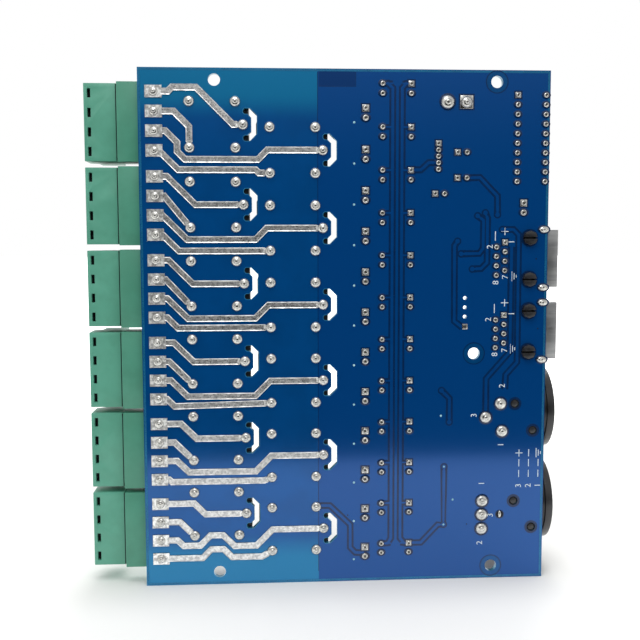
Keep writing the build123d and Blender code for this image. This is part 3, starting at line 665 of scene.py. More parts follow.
def lettering(text: str, size: float, thickness: float = 0.02) -> Mesh:
    """Sets plain figures centred on the origin, on the XY plane.

    Args:
        text: the figures.
        size: their body size in millimetres.
        thickness: the ink's thickness in millimetres.

    Returns:
        The figures.
    """
    curve = bpy.data.curves.new("figures", "FONT")
    curve.body = text
    curve.size = size * MM
    curve.align_x = "CENTER"
    curve.align_y = "CENTER"
    curve.extrude = thickness / 2 * MM
    curve.resolution_u = 3
    return from_curve(curve)


class Piece:
    """One visible piece of the object, built up from parts in the row frame."""

    def __init__(self, name: str) -> None:
        """Starts an empty piece.

        Args:
            name: the piece's name in the table.
        """
        self.name = name
        self.mesh = bmesh.new()
        self.finishes: list[Finish] = []

    def finish_number(self, finish: Finish) -> int:
        """Gives the number that faces of a finish have, and takes the finish up if it is new."""
        if finish not in self.finishes:
            self.finishes.append(finish)
        return self.finishes.index(finish)

    def add(self, part: Mesh, finish: Finish, move: Matrix | None = None) -> "Piece":
        """Adds a copy of a part.

        Args:
            part: the part, which can be added again elsewhere.
            finish: its finish.
            move: where it goes, if it isn't in place already.

        Returns:
            This piece.
        """
        data = bpy.data.meshes.new("part")
        part.to_mesh(data)
        if move is not None:
            data.transform(move)
        number = self.finish_number(finish)
        first = len(self.mesh.faces)
        self.mesh.from_mesh(data)
        bpy.data.meshes.remove(data)
        self.mesh.faces.ensure_lookup_table()
        for face in self.mesh.faces[first:]:
            face.material_index = number
        return self

    def repaint(self, finish: Finish, chosen: Callable[[bmesh.types.BMFace], bool]) -> "Piece":
        """Gives a finish to the faces that pass a test.

        Args:
            finish: the finish.
            chosen: the test.

        Returns:
            This piece.
        """
        number = self.finish_number(finish)
        for face in self.mesh.faces:
            if chosen(face):
                face.material_index = number
        return self

    def place(
        self, slot: str, replaces: Sequence[str] = (), body: str = BOARD_BODY, crease_deg: float = 32.0
    ) -> bpy.types.Object:
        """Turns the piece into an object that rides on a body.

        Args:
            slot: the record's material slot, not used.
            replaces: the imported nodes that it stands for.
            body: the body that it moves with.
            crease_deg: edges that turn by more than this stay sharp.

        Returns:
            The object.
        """
        bmesh.ops.recalc_face_normals(self.mesh, faces=self.mesh.faces)
        limit = math.radians(crease_deg)
        for face in self.mesh.faces:
            face.smooth = True
        for edge in self.mesh.edges:
            edge.smooth = len(edge.link_faces) != 2 or edge.calc_face_angle(0.0) < limit
        data = bpy.data.meshes.new(self.name)
        self.mesh.to_mesh(data)
        self.mesh.free()
        for finish in self.finishes:
            data.materials.append(finish.material())
        made = stand(self.name, data)
        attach(made, body)
        if replaces:
            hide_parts(*replaces)
        LOG.info("%s: %d faces on %s", self.name, len(data.polygons), body)
        return made


def dress(
    node: str, name: str, finish: Finish, slot: str, edge: float, segments: int = 2, body: str = BOARD_BODY
) -> None:
    """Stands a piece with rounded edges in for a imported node.

    Args:
        node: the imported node.
        name: the piece's name.
        finish: its finish.
        slot: its material slot in the record.
        edge: the rounding in millimetres.
        segments: how many faces the rounding has.
        body: the body that it moves with.
    """
    part = bevelled(merged_copy(node), edge, segments)
    Piece(name).add(part, finish).place(slot, [node], body)


class BoardPlan:
    """Where things are on the board, from its packed box."""

    def __init__(self) -> None:
        """Reads the board's box."""
        self.low, self.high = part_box("circuit_board")

    def at(self, x: float, z: float, y: float = 0.0) -> Vector:
        """Gives a point from millimetres right, up and back from the solder face's lower left corner."""
        return Vector((self.low.x + x * MM, self.low.y + y * MM, self.low.z + z * MM))

    def flat(self, route: Route) -> list[Place]:
        """Gives a route on the solder face in metres, from millimetres of the lower left corner."""
        points = [self.at(x, z) for x, z in route]
        return [(point.x, point.z) for point in points]

    def upright(self, x: float, z: float, y: float) -> Matrix:
        """Gives the place of figures on the solder side that read upwards."""
        turn = Matrix(((0, -1, 0), (0, 0, -1), (1, 0, 0))).to_4x4()
        return Matrix.Translation(self.at(x, z, y)) @ turn

    def solder_side(self, place: Place) -> Matrix:
        """Gives the place of a turned part that stands on the solder face."""
        return Facing.SOLDER_SIDE.at(self.at(*place))


PLAN = BoardPlan()


def stretched(point: Vector, across: float, up: float = 1.0) -> Matrix:
    """Gives the place of a turned part on the solder side that is drawn out across or up."""
    stretch = Matrix.Diagonal((across, 1.0, up, 1.0))
    return Matrix.Translation(point) @ stretch @ Facing.SOLDER_SIDE.at(Vector())


@dataclass
class MaskedFaces:
    """The board's own faces: mask, teal rims, rings, grooves round traces, covered vias and print."""

    rim_width: float = 0.16
    rim_height: float = 0.012
    hole_height: float = 5.0
    slot_height: float = 15.0
    least_radius: float = 0.9
    peg_corners: int = 8
    screw_clearance: float = 1.2
    peg_clearance: float = 0.75
    ring_line: float = 0.25
    peg_gap: tuple[float, float] = (-0.1, 0.12)
    groove_width: float = 0.42
    groove_height: float = 0.01
    edge_line: float = 0.18
    outline_width: float = 0.8
    outline_inset: float = 0.45
    stub_width: float = 0.7
    trace_width: float = 1.15
    end_radius: float = 0.62
    bus_x: tuple[float, float] = (66.95, 69.5)
    half_pin: float = 1.27
    via_radius: float = 0.3
    via_x: float = 56.7
    via_top: float = 124.9
    via_pitch: float = 10.8
    channels: int = 12
    speck_radius: float = 0.2
    glint: Place = (97.3, 18.0)
    glint_radius: float = 0.95
    glint_share: float = 0.48
    spare_at: Place = (86.9, 70.4)
    spare_pad: float = 1.5
    spare_proud: float = 0.25
    ink_height: float = 0.03
    ink_line: float = 0.22
    figure_size: float = 2.3

    def build(self) -> None:
        """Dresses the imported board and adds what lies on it."""
        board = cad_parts["circuit_board"]
        board.data.materials.clear()
        board.data.materials.append(MASK.material())
        self.rims()
        self.hole_rings()
        self.traces()
        self.vias()
        self.specks()
        self.figures()

    def rims(self) -> None:
        """Adds the teal rims along the board's outline and round its slots, with the light through the
        laminate painted in.
        """
        part = self.front_face()
        others = [loop for loop in self.boundaries(part) if not self.is_slot(loop)]
        bmesh.ops.triangulate(part, faces=part.faces)
        ring = bmesh.ops.inset_region(
            part, faces=list(part.faces), thickness=self.rim_width * MM, use_even_offset=True,
            use_boundary=True,
        )["faces"]
        outer = {vertex for loop in others for vertex in loop}
        kept = {face for face in ring if outer.isdisjoint(face.verts)}
        bmesh.ops.delete(part, geom=[f for f in part.faces if f not in kept], context="FACES")
        raised = bmesh.ops.extrude_face_region(part, geom=list(part.faces))["geom"]
        lifted = [v for v in raised if isinstance(v, bmesh.types.BMVert)]
        bmesh.ops.translate(part, verts=lifted, vec=(0, -self.rim_height * MM, 0))
        piece = Piece("board_rims_with_painted_glow").add(part, SLOT_RIM)
        inset = self.outline_inset
        right, top = (PLAN.high - PLAN.low).x / MM - inset, (PLAN.high - PLAN.low).z / MM - inset
        corners = [(inset, inset), (right, inset), (right, top), (inset, top)]
        outline = ribbons([PLAN.flat(corners)], self.outline_width, self.rim_height, closed=True)
        piece.add(outline, RIM).place("board_laminate")

    def boundaries(self, part: Mesh) -> list[list[bmesh.types.BMVert]]:
        """Finds the closed lines of open edges of a flat part, as lists of their corners."""
        return connected([v for v in part.verts if v.is_boundary], lambda edge: edge.is_boundary)

    def height(self, loop: Sequence[bmesh.types.BMVert]) -> float:
        """Gives the height of a line in millimetres."""
        levels = [v.co.z for v in loop]
        return (max(levels) - min(levels)) / MM

    def is_slot(self, loop: Sequence[bmesh.types.BMVert]) -> bool:
        """Tells a slot from a round hole and from the board's outline by its height."""
        return self.hole_height < self.height(loop) < self.slot_height

    def hole_rings(self) -> None:
        """Adds the rings round the holes of the pour: clear of it for screws, dark for pegs, with a thin ring
        of painted shade at each peg's hole.
        """
        piece = Piece("mask_hole_rings")
        lift = self.rim_height
        face = self.front_face()
        for loop in self.boundaries(face):
            middle = sum((v.co for v in loop), Vector()) / len(loop)
            radius = max((v.co - middle).length for v in loop) / MM
            left_of_pour = middle.x < PLAN.at(POUR_X, 0.0).x
            if self.height(loop) > self.hole_height or left_of_pour or radius < self.least_radius:
                continue
            place = Facing.SOLDER_SIDE.at(middle)
            if len(loop) > self.peg_corners:
                outer = radius + self.screw_clearance
                piece.add(washer(radius + 0.02, outer, lift, 24), CLEARANCE, place)
                piece.add(washer(outer, outer + self.ring_line, 2 * lift, 32), GROOVE, place)
            else:
                near, far = self.peg_gap
                piece.add(washer(radius + 0.02, radius + self.peg_clearance, lift, 24), GROOVE, place)
                # a thin ring of painted shade where the peg meets its hole
                piece.add(washer(radius + near, radius + far, 2 * lift, 20), PAINTED_SHADE, place)
        piece.place("board_laminate")

    def front_face(self) -> Mesh:
        """Gives the board's solder face alone."""
        part = merged_copy("circuit_board")
        behind = [f for f in part.faces if f.normal.y > -0.9]
        bmesh.ops.delete(part, geom=behind, context="FACES")
        return part

    def traces(self) -> None:
        """Adds the covered traces, each with the grooves that part it from the pour."""
        pins = self.channel_pins()
        (left, right), (near, far) = OPTO_PINS_X, self.bus_x
        first, last = pins[0], pins[-1]
        full = [
            [(left, first), (65.7, first), (near, first - 1.2), (near, last + 1.4), (66.1, last),
             (left, last)],
            [(right, first), (70.5, first), (far, first - 1.2), (far, last + 1.4), (70.6, last), (75.3, last),
             (80.0, 15.4), (81.6, 15.4), (81.6, 31.7)],
            [(71.9, 112.5), (74.6, 112.5), (76.7, 114.4), (79.3, 114.4)],
            [(87.1, 110.4), (90.6, 110.5), (95.4, 105.6), (95.5, 100.6)],
            [(84.7, 93.5), (83.9, 92.3), (84.0, 71.9), (86.2, 70.2)],
            [(85.7, 90.1), (90.7, 90.2), (91.7, 91.6), (91.7, 99.1), (90.1, 100.3)],
            [(88.8, 86.0), (91.2, 86.1), (92.8, 87.7), (92.8, 99.6), (92.2, 101.1)],
            [(99.5, 92.0), (99.5, 63.4), (93.0, 56.0), (93.0, 47.0)],
            [(96.9, 96.6), (100.0, 96.6), (101.4, 95.2), (101.5, 60.5), (98.4, 57.0), (98.2, 53.0)],
            [(80.7, 52.9), (82.9, 50.7), (82.9, 44.1)],
            [(46.3, 21.4), (50.1, 21.4), (55.7, 15.9), (55.7, 9.5), (57.1, 8.0), (59.6, 7.9)],
        ]
        stubs = [[(left, z), (near, z)] for z in pins] + [[(right, z), (far, z)] for z in pins]
        edges = [[(POUR_X, 3.0), (POUR_X, 137.9)], [(47.3, 134.2), (57.1, 134.2), (57.1, 138.0)]]
        piece = Piece("covered_traces")
        piece.add(ribbons(map(PLAN.flat, edges), self.edge_line, self.groove_height), GROOVE)
        for routes, width in ((full, self.trace_width), (stubs, self.stub_width)):
            flat = [PLAN.flat(route) for route in routes]
            gap = width + 2 * self.groove_width
            piece.add(ribbons(flat, gap, self.groove_height), GROOVE)
            piece.add(ribbons(flat, width, 2 * self.groove_height), TRACE)
        inner = disc(self.end_radius, 2 * self.groove_height, 16)
        outer = disc(self.end_radius + self.groove_width, self.groove_height, 16)
        ends = [
            (84.7, 93.5), (85.7, 90.1), (88.8, 86.0), (90.1, 100.3), (92.2, 101.1), (95.5, 100.6),
            (80.7, 52.9), (82.9, 44.1), (81.6, 31.7), (81.6, 15.4), (96.9, 96.6),
        ]
        for end in ends:
            piece.add(outer, GROOVE, PLAN.solder_side(end)).add(inner, TRACE, PLAN.solder_side(end))
        piece.place("board_laminate")

    def channel_pins(self) -> list[float]:
        """Gives the height of each optocoupler's upper pins, from the top down."""
        middles = {round((low.z + high.z) / 2 / MM, 2) for low, high, _ in islands("optocouplers")}
        return [z - PLAN.low.z / MM + self.half_pin for z in sorted(middles, reverse=True)]

    def vias(self) -> None:
        """Adds the covered vias, one beside each channel and a few more."""
        places = [(self.via_x, self.via_top - self.via_pitch * i) for i in range(self.channels)]
        places += [(80.6, 45.9), (81.6, 31.7), (81.6, 15.4), (84.1, 22.4)]
        dome = turned([(self.via_radius, 0.0), (self.via_radius * 0.8, 0.03), (0.0, 0.05)], 12)
        piece = Piece("covered_vias")
        for place in places:
            piece.add(dome, VIA, PLAN.solder_side(place))
        piece.place("board_laminate")

    def specks(self) -> None:
        """Adds open vias and pin holes in the tinning as dots of painted shade, and the glint of metal beside
        the male connector in a hole of painted shade.
        """
        piece = Piece("board_specks")
        for place in ((106.3, 88.7), (107.1, 69.7), (88.1, 15.4), (55.0, 18.6)):
            piece.add(disc(self.speck_radius, 0.012, 10), PAINTED_SHADE, PLAN.solder_side(place))
        radius = self.glint_radius
        well = turned([(radius + 0.3, 0.0), (radius + 0.25, 0.012), (0.0, 0.014)], 20)
        hole = turned([(radius, 0.0), (radius, 0.02), (0.0, 0.022)], 20)
        drop = turned([(radius, 0.0), (0.85, 0.12), (0.55, 0.24), (0.0, 0.3)], 16)
        at = PLAN.solder_side(self.glint)
        piece.add(well, GROOVE, at).add(hole, PAINTED_SHADE, at)
        half = Vector((self.spare_pad / 2, 0.0, self.spare_pad / 2)) * MM
        low = PLAN.at(*self.spare_at, -self.spare_proud) - half
        piece.add(block(low, PLAN.at(*self.spare_at) + half, 0.12), SOLDER)
        piece.add(drop, SOLDER, stretched(PLAN.at(*self.glint), self.glint_share)).place("board_laminate")

    def figures(self) -> None:
        """Adds the plain pin numbers and marks beside the sockets and connectors."""
        numbers = [
            ("2", 93.6, 92.0), ("1", 99.5, 93.3), ("7", 97.9, 83.8), ("8", 95.3, 82.3),
            ("2", 93.4, 72.3), ("1", 99.8, 73.8), ("7", 98.0, 63.8), ("8", 95.3, 62.7),
            ("2", 97.5, 54.0), ("3", 89.8, 45.9), ("1", 97.4, 37.6),
            ("1", 92.2, 26.8), ("3", 94.7, 17.8), ("2", 91.8, 10.0),
            ("3", 102.5, 26.0), ("2", 105.2, 26.0), ("1", 107.9, 26.0),
        ]
        piece = Piece("board_figures")
        for text, x, z in numbers:
            piece.add(lettering(text, self.figure_size), INK, PLAN.upright(x, z, -self.ink_height / 2))
        dashes = [[(95.0, 93.6), (95.0, 96.2)], [(95.0, 74.0), (95.0, 76.5)]]
        dashes += [[(x, z), (x, z + 2.0)] for x in (102.5, 105.2, 107.9) for z in (28.4, 31.4)]
        for x, z in ((97.6, 96.1), (97.8, 76.8), (102.5, 35.2)):
            dashes += [[(x, z - 1.0), (x, z + 1.0)], [(x - 1.0, z), (x + 1.0, z)]]
        dashes += [[(105.2, 34.2), (105.2, 36.2)]]
        for x, z in ((100.3, 84.0), (100.2, 64.2), (107.9, 35.2)):
            for back, half in ((0.0, 1.3), (0.6, 0.85), (1.2, 0.4)):
                dashes.append([(x + back - 0.6, z - half), (x + back - 0.6, z + half)])
        lines = [PLAN.flat(route) for route in dashes]
        piece.add(ribbons(lines, self.ink_line, self.ink_height), INK)
        piece.place("board_laminate")


@dataclass
class Solder:
    """Tinned tracks and every solder joint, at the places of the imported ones."""

    track_edge: float = 0.22
    track_slope: float = 0.1
    slope_normal: float = -0.3
    run_reach: float = 2.8
    run_lap: float = 0.45
    run_height: float = 0.05
    run_share: float = 0.42
    pad_size: tuple[float, float] = (4.3, 3.1)
    pad_proud: float = 0.03
    pad_margin: float = 0.05
    small_reach: float = 1.0
    collar: float = 0.4
    collar_height: float = 0.012
    pad_height: float = 0.14
    square_corners: int = 5
    square_share: float = 0.9
    drawn_share: float = 1.2
    wobble: float = 0.06
    seed: int = 7

    def build(self) -> None:
        """Builds the tracks, the joints and the clear rings round the joints of the pour."""
        self.tracks()
        self.joints("relay_joints", "relay_solder")
        self.joints("pin_joints", "pin_solder")
        self.clear_rings()

    def tracks(self) -> None:
        """Slopes the edges of the tinned tracks, paints them paler as a highlight, and lays the frosted pads
        on their ends.
        """
        part = merged_copy("solder_tracks")
        part.normal_update()
        front = min(v.co.y for v in part.verts)
        rim = [v for v in part.verts if v.co.y < front + HAIR]
        top = [f for f in part.faces if f.normal.y < -SQUARE_ON and f.verts[0].co.y < front + HAIR]
        corners = [v.co.copy() for v in rim]
        bmesh.ops.inset_region(part, faces=top, thickness=self.track_edge * MM, use_even_offset=True)
        for vertex in rim:
            vertex.co.y += self.track_slope * MM
        piece = Piece("tinned_tracks").add(part, TINNED)
        piece.mesh.normal_update()
        # the sloped edges take the paler tin, as a painted highlight
        piece.repaint(TIN_EDGE_HIGHLIGHT, lambda face: -SQUARE_ON < face.normal.y < self.slope_normal)
        self.runs(piece, corners, front)
        reach = Vector((self.pad_size[0] / 2, 0.0, self.pad_size[1] / 2)) * MM
        for middle in self.pads():
            middle.y = front
            low = middle - reach - Vector((0.0, self.pad_proud * MM, 0.0))
            piece.add(block(low, middle + reach, self.pad_proud * 0.6, 1), FROSTED)
        piece.place("tinned_copper", ["solder_tracks"], crease_deg=15.0)

    def runs(self, piece: Piece, corners: Sequence[Vector], front: float) -> None:
        """Adds the solder that runs from a relay's joint onto the end of its track.

        Args:
            piece: the piece that it goes to.
            corners: the tracks' corners on their front faces.
            front: where those faces lie in Y.
        """
        column = max(middle.x for middle in self.pads()) + self.pad_size[0] / 2 * MM
        for low, high, _ in islands("relay_joints"):
            joint = centre(low, high, front)
            near = sorted(corners, key=lambda corner: (corner - joint).length)[:2]
            if joint.x < column or (near[1] - joint).length > self.run_reach * MM:
                continue
            end = (near[0] + near[1]) / 2
            half = (near[0] - near[1]).length * self.run_share
            way = joint - end
            run = block(
                Vector((-self.run_lap * MM, -self.run_height * MM, -half)),
                Vector((way.length, 0.1 * MM, half)), 0.04, 1,
            )
            turn = Vector((1, 0, 0)).rotation_difference(way.normalized()).to_matrix().to_4x4()
            piece.add(run, FROSTED, Matrix.Translation(end) @ turn)

    def pads(self) -> list[Vector]:
        """Finds the middles of the terminal pads: the tracks reach furthest left there."""
        edge = min(low.x for low, _, _ in islands("solder_tracks"))
        middle = edge + (self.pad_size[0] / 2 + self.pad_margin) * MM
        joints = [(low + high) / 2 for low, high, _ in islands("relay_joints")]
        return [Vector((middle, 0.0, j.z)) for j in joints if j.x < edge + self.pad_size[0] * MM]

    def dome(self, reach: float, height: float) -> Mesh:
        """Makes a full joint: a dome with the covered end of its lead standing out of it."""
        section = [
            (1.0, 0.0), (0.97, 0.16), (0.88, 0.34), (0.72, 0.5), (0.54, 0.59), (0.44, 0.6), (0.38, 0.66),
            (0.33, 0.76), (0.2, 0.82), (0.0, 0.83),
        ]
        return turned([(reach * r, height * h) for r, h in section], 16)

    def collar_of_lead(self, reach: float, height: float) -> Mesh:
        """Makes a small joint: a ring of solder that leaves the end of its lead bare."""
        section = [(1.0, 0.0), (0.93, 0.28), (0.7, 0.5), (0.46, 0.48), (0.36, 0.34), (0.0, 0.34)]
        return turned([(reach * r, height * h) for r, h in section], 12)

    def lead(self, reach: float, height: float) -> Mesh:
        """Makes the cut end of a small joint's lead."""
        return turned([(reach * r, height * h) for r, h in [(0.3, 0.3), (0.27, 0.55), (0.0, 0.56)]], 8)

    def joints(self, node: str, name: str) -> None:
        """Builds a node's joints.

        Args:
            node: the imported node.
            name: the new piece's name.
        """
        wander = random.Random(self.seed)
        piece = Piece(name)
        for low, high, corners in islands(node):
            width, height, length = (high - low) / MM
            reach = min(width, length) / 2
            foot = centre(low, high, high.y)
            square = corners == self.square_corners
            drawn_out = square and max(width, length) > self.drawn_share * min(width, length)
            if square and not drawn_out:
                pad_low = Vector((low.x, high.y - self.pad_height * MM, low.z))
                piece.add(block(pad_low, high, self.pad_height * 0.45), SOLDER)
                reach *= self.square_share
            turn = Quaternion((0, 0, 1), wander.uniform(0, math.tau))
            lean = Quaternion((1, 0, 0), wander.uniform(0, self.wobble))
            place = Facing.SOLDER_SIDE.at(foot) @ Matrix.LocRotScale(None, turn @ lean, None)
            if drawn_out:
                place = stretched(foot, width / 2 / reach, length / 2 / reach)
            if reach < self.small_reach and not drawn_out:
                piece.add(self.collar_of_lead(reach, height), SOLDER, place)
                piece.add(self.lead(reach, height), LEAD, place)
            else:
                piece.add(self.dome(reach, height), SOLDER, place)
        piece.place("solder", [node], crease_deg=70.0)

    def clear_rings(self) -> None:
        """Adds the ring that the mask leaves clear round each small joint."""
        piece = Piece("mask_clear_rings")
        lift = self.collar_height
        for low, high, corners in islands("pin_joints"):
            if low.x < PLAN.at(POUR_X, 0.0).x:
                continue
            size = high - low
            if corners == self.square_corners and abs(size.x - size.z) <= 0.5 * MM:
                spread = Vector((self.collar * MM, 0.0, self.collar * MM))
                front = Vector((low.x, high.y - lift * MM, low.z))
                piece.add(block(front - spread, high + spread), GROOVE)
            else:
                foot = centre(low, high, high.y)
                reach = size.x / 2 / MM + self.collar
                ring = turned([(reach, 0.0), (reach - 0.05, lift), (0.0, lift)], 16)
                piece.add(ring, GROOVE, stretched(foot, 1.0, size.z / size.x))
        piece.place("board_laminate")


@dataclass
class Relays:
    """Moulded relay cases: a base, a seam in painted shade and a cap with a raised panel and a vent."""

    corner: float = 0.8
    cap_edge: float = 0.4
    foot_height: float = 1.4
    seam_height: float = 0.25
    seam_depth: float = 0.25
    panel_inset: float = 1.3
    panel_height: float = 0.15
    panel_edge: float = 0.1
    vent_radius: float = 0.6
    vent_inset: float = 2.8

    def build(self) -> None:
        """Builds one case for each packed relay."""
        radius = self.vent_radius
        vent = turned([(radius, -0.05), (radius, 0.1), (0.3, 0.12), (0.0, 0.03)], 14)
        seam_in, panel_in, aside = (
            Vector((inset, 0.0, inset)) * MM for inset in (self.seam_depth, self.panel_inset, self.vent_inset)
        )
        for node in sorted(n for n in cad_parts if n.startswith("relay_") and n[6:].isdigit()):
            low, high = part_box(node)
            foot = low.y + self.foot_height * MM
            seam = foot + self.seam_height * MM
            top = high.y - self.panel_height * MM
            base = self.post(low, Vector((high.x, foot, high.z)))
            # the seam's recess is painted nearly black, as painted shade
            gap = self.post(Vector((low.x, foot, low.z)) + seam_in, Vector((high.x, seam, high.z)) - seam_in)
            cap = self.cap(Vector((low.x, seam, low.z)), Vector((high.x, top, high.z)))
            panel_low = Vector((low.x, top - self.panel_edge * MM, low.z)) + panel_in
            panel = block(panel_low, high - panel_in, self.panel_edge)
            piece = Piece(f"{node}_case").add(base, RELAY_CASE).add(gap, PAINTED_SHADE).add(cap, RELAY_CASE)
            piece.add(panel, RELAY_CASE).add(vent, RELAY_CASE, Facing.PART_SIDE.at(high - aside))
            piece.place("relay_case", [node])

    def post(self, low: Vector, high: Vector) -> Mesh:
        """Makes a box whose upright corners are rounded like the case's."""
        return bevelled(block(low, high), self.corner, 3, along=Facing.PART_SIDE.value)

    def cap(self, low: Vector, high: Vector) -> Mesh:
        """Makes the cap, rounded all over but for its lower rim."""
        part = self.post(low, high)
        top = [f for f in part.faces if f.normal.y > SQUARE_ON]
        rim = [e for e in part.edges if any(f in top for f in e.link_faces)]
        round_edges(part, rim, self.cap_edge, 3)
        return part


@dataclass
class Terminals:
    """Pluggable terminals: headers, plugs, clamps and slotted screws, and the supply terminal."""

    edge: float = 0.14
    pin_edge: float = 0.15
    clamp_edge: float = 0.08
    screw_radius: float = 1.45
    screw_edge: float = 0.15
    slot_width: float = 0.5
    slot_depth: float = 0.5
    count: int = 6
    hexagon_corners: int = 12
    # plates of painted shade in the test slots, and a strip of it along the plug's parting
    lining_x: tuple[float, float] = (0.75, 1.95)
    lining_depth: float = 1.35
    lining_half: float = 1.35
    lining_thickness: float = 0.15
    front_gap: float = 0.3
    parting: float = 0.22
    parting_proud: float = 0.012
    parting_sunk: float = 0.1
    parting_inset: float = 0.15

    def build(self) -> None:
        """Builds all terminals."""
        for i in range(1, self.count + 1):
            body = f"plug_body_{i}"
            dress(f"header_{i}", f"header_shell_{i}", HEADER_GREEN_PAINTED_SHADE, "header_plastic", self.edge)
            dress(f"plug_{i}", f"plug_shell_{i}", PLUG_GREEN, "plug_plastic", self.edge, body=body)
            self.hardware(f"plug_clamps_{i}", f"plug_hardware_{i}", body)
            self.linings(i, body)
        dress("header_pins", "header_pin_rows", TIN_PIN, "tinned_pin", self.pin_edge, 1)
        dress("power_terminal", "supply_terminal", PLUG_GREEN, "plug_plastic", self.edge)
        self.hardware("power_clamps", "supply_hardware", BOARD_BODY)

    def screws(self, node: str) -> list[tuple[Vector, Vector]]:
        """Finds the boxes of the screws among a node's clamps."""
        return [(low, high) for low, high, corners in islands(node) if corners == self.hexagon_corners]

    def screw(self, height: float) -> Mesh:
        """Makes a slotted cheese head of a height in millimetres, standing on the origin."""
        radius, edge = self.screw_radius, self.screw_edge
        head = turned(
            [(0.0, 0.0), (radius, 0.0), (radius, height - edge), (radius - edge, height), (0.0, height)], 20
        )
        far = Vector((self.slot_width / 2, 2 * radius, height + 1)) * MM
        return carved(head, block(Vector((-far.x, -far.y, (height - self.slot_depth) * MM)), far))

    def hardware(self, node: str, name: str, body: str) -> None:
        """Builds the clamps and screws of a node.

        Args:
            node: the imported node.
            name: the new piece's name.
            body: the body that it moves with.
        """
        screws = self.screws(node)
        top = max(high.y for _, high in screws)
        foot = min(low.y for low, _ in screws)
        part = merged_copy(node)
        over = [f for f in part.faces if f.calc_center_median().y > foot + HAIR]
        bmesh.ops.delete(part, geom=over, context="FACES")
        piece = Piece(name).add(bevelled(part, self.clamp_edge, 1), ZINC)
        screw = self.screw((top - foot) / MM)
        for low, high in screws:
            piece.add(screw, ZINC, Facing.PART_SIDE.at(centre(low, high, foot)))
        piece.place("zinc_plated_steel", [node], body)

    def linings(self, number: int, body: str) -> None:
        """Puts plates of painted shade inside a plug's test slots and a strip of painted shade along its
        parting from the header.

        Args:
            number: the plug's number.
            body: the body that it moves with.
        """
        low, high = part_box(f"plug_{number}")
        piece = Piece(f"test_slot_painted_shades_{number}")
        for screw_low, screw_high in self.screws(f"plug_clamps_{number}"):
            z = (screw_low.z + screw_high.z) / 2
            left, right = (low.x + x * MM for x in self.lining_x)
            near = Vector((left, low.y + self.lining_depth * MM, z - self.lining_half * MM))
            far = Vector((right, near.y + self.lining_thickness * MM, z + self.lining_half * MM))
            piece.add(block(near, far), PAINTED_SHADE)
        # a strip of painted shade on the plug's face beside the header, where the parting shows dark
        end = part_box(f"header_{number}")[0].x - self.front_gap * MM
        inset = self.parting_inset * MM
        near = Vector((end - self.parting * MM, low.y - self.parting_proud * MM, low.z + inset))
        piece.add(block(near, Vector((end, low.y + self.parting_sunk * MM, high.z - inset))), PAINTED_SHADE)
        piece.place("plug_plastic", (), body)


@dataclass
class CodingSwitch:
    """Ten way coding switch with its sliders and plain numbers."""

    edge: float = 0.15
    knob_edge: float = 0.12
    figure_size: float = 1.3
    figure_offset: float = 3.0
    ways: int = 10

    def build(self) -> None:
        """Builds the case, the numbers and the sliders."""
        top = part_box("switch_body")[1].y
        turn = Matrix(((-1, 0, 0), (0, 0, 1), (0, 1, 0))).to_4x4()
        piece = Piece("switch_case").add(bevelled(merged_copy("switch_body"), self.edge), SWITCH_CASE)
        for i in range(1, self.ways + 1):
            node = f"switch_slider_{i:02d}"
            low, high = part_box(node)
            row = Vector(((low.x + high.x) / 2 - self.figure_offset * MM, top, (low.z + high.z) / 2))
            piece.add(lettering(str(i), self.figure_size), INK, Matrix.Translation(row) @ turn)
            body = f"slider_body_{i:02d}"
            dress(node, f"slider_knob_{i:02d}", SLIDER, "slider_plastic", self.knob_edge, body=body)
        piece.place("switch_plastic", ["switch_body"])


@dataclass
class DataSockets:
    """Shielded data sockets: folded shells, moulded inserts with split pegs, and spring contacts."""

    edge: float = 0.12
    insert_edge: float = 0.1
    contact_edge: float = 0.08
    lip: float = 0.3
    lip_gap: float = 0.2

    def build(self) -> None:
        """Builds shells, inserts and contacts."""
        shell = bevelled(merged_copy("data_socket_shells"), self.edge)
        piece = Piece("socket_shells").add(shell, TINPLATE)
        for low, high, _ in islands("data_socket_shells"):
            lip_low = Vector((PLAN.high.x + self.lip_gap * MM, low.y - self.lip * MM, low.z))
            # the lip takes the darker copy of the sheet, as painted shade
            piece.add(block(lip_low, Vector((high.x, low.y, high.z)), self.edge), TINPLATE_SHADED)
        piece.place("tinned_shell", ["data_socket_shells"])
        dress("data_socket_inserts", "socket_inserts", NYLON, "black_nylon", self.insert_edge)
        dress("data_socket_contacts", "socket_contacts", GOLD, "gilt_contact", self.contact_edge, 1)


@dataclass
class RoundConnectors:
    """Round three pole connectors with round flanges in front of moulded housings."""

    edge: float = 0.25
    pin_edge: float = 0.35
    latch_edge: float = 0.3
    latch_clearance: float = 0.1

    def build(self) -> None:
        """Builds both connectors, the latch and the contact pins.

        The latch's underside is drawn in a little, so that it stops short of the shell when pressed.
        """
        for node in ("female_connector", "male_connector"):
            dress(node, f"{node}_shell", NYLON, "black_nylon", self.edge)
        latch = bevelled(merged_copy("connector_latch"), self.latch_edge, 3)
        under = min(v.co.y for v in latch.verts)
        for vertex in latch.verts:
            if vertex.co.y < under + HAIR:
                vertex.co.y += self.latch_clearance * MM
        Piece("latch_tab").add(latch, NYLON).place("latch_metal", ["connector_latch"], "latch_body")
        dress("connector_pins", "contact_pins", TIN_PIN, "silvered_pin", self.pin_edge, 3)


class Chip(Enum):
    """Kinds of surface mounted part, by what they look like."""

    QUAD = "chip with leads on four sides"
    DUAL = "chip with leads on two sides"
    CAN = "crystal in a drawn can"
    CHOKE = "wound drum on a square foot"
    DIODE = "two ended part with a band"
    TAB = "three leads and a tab"


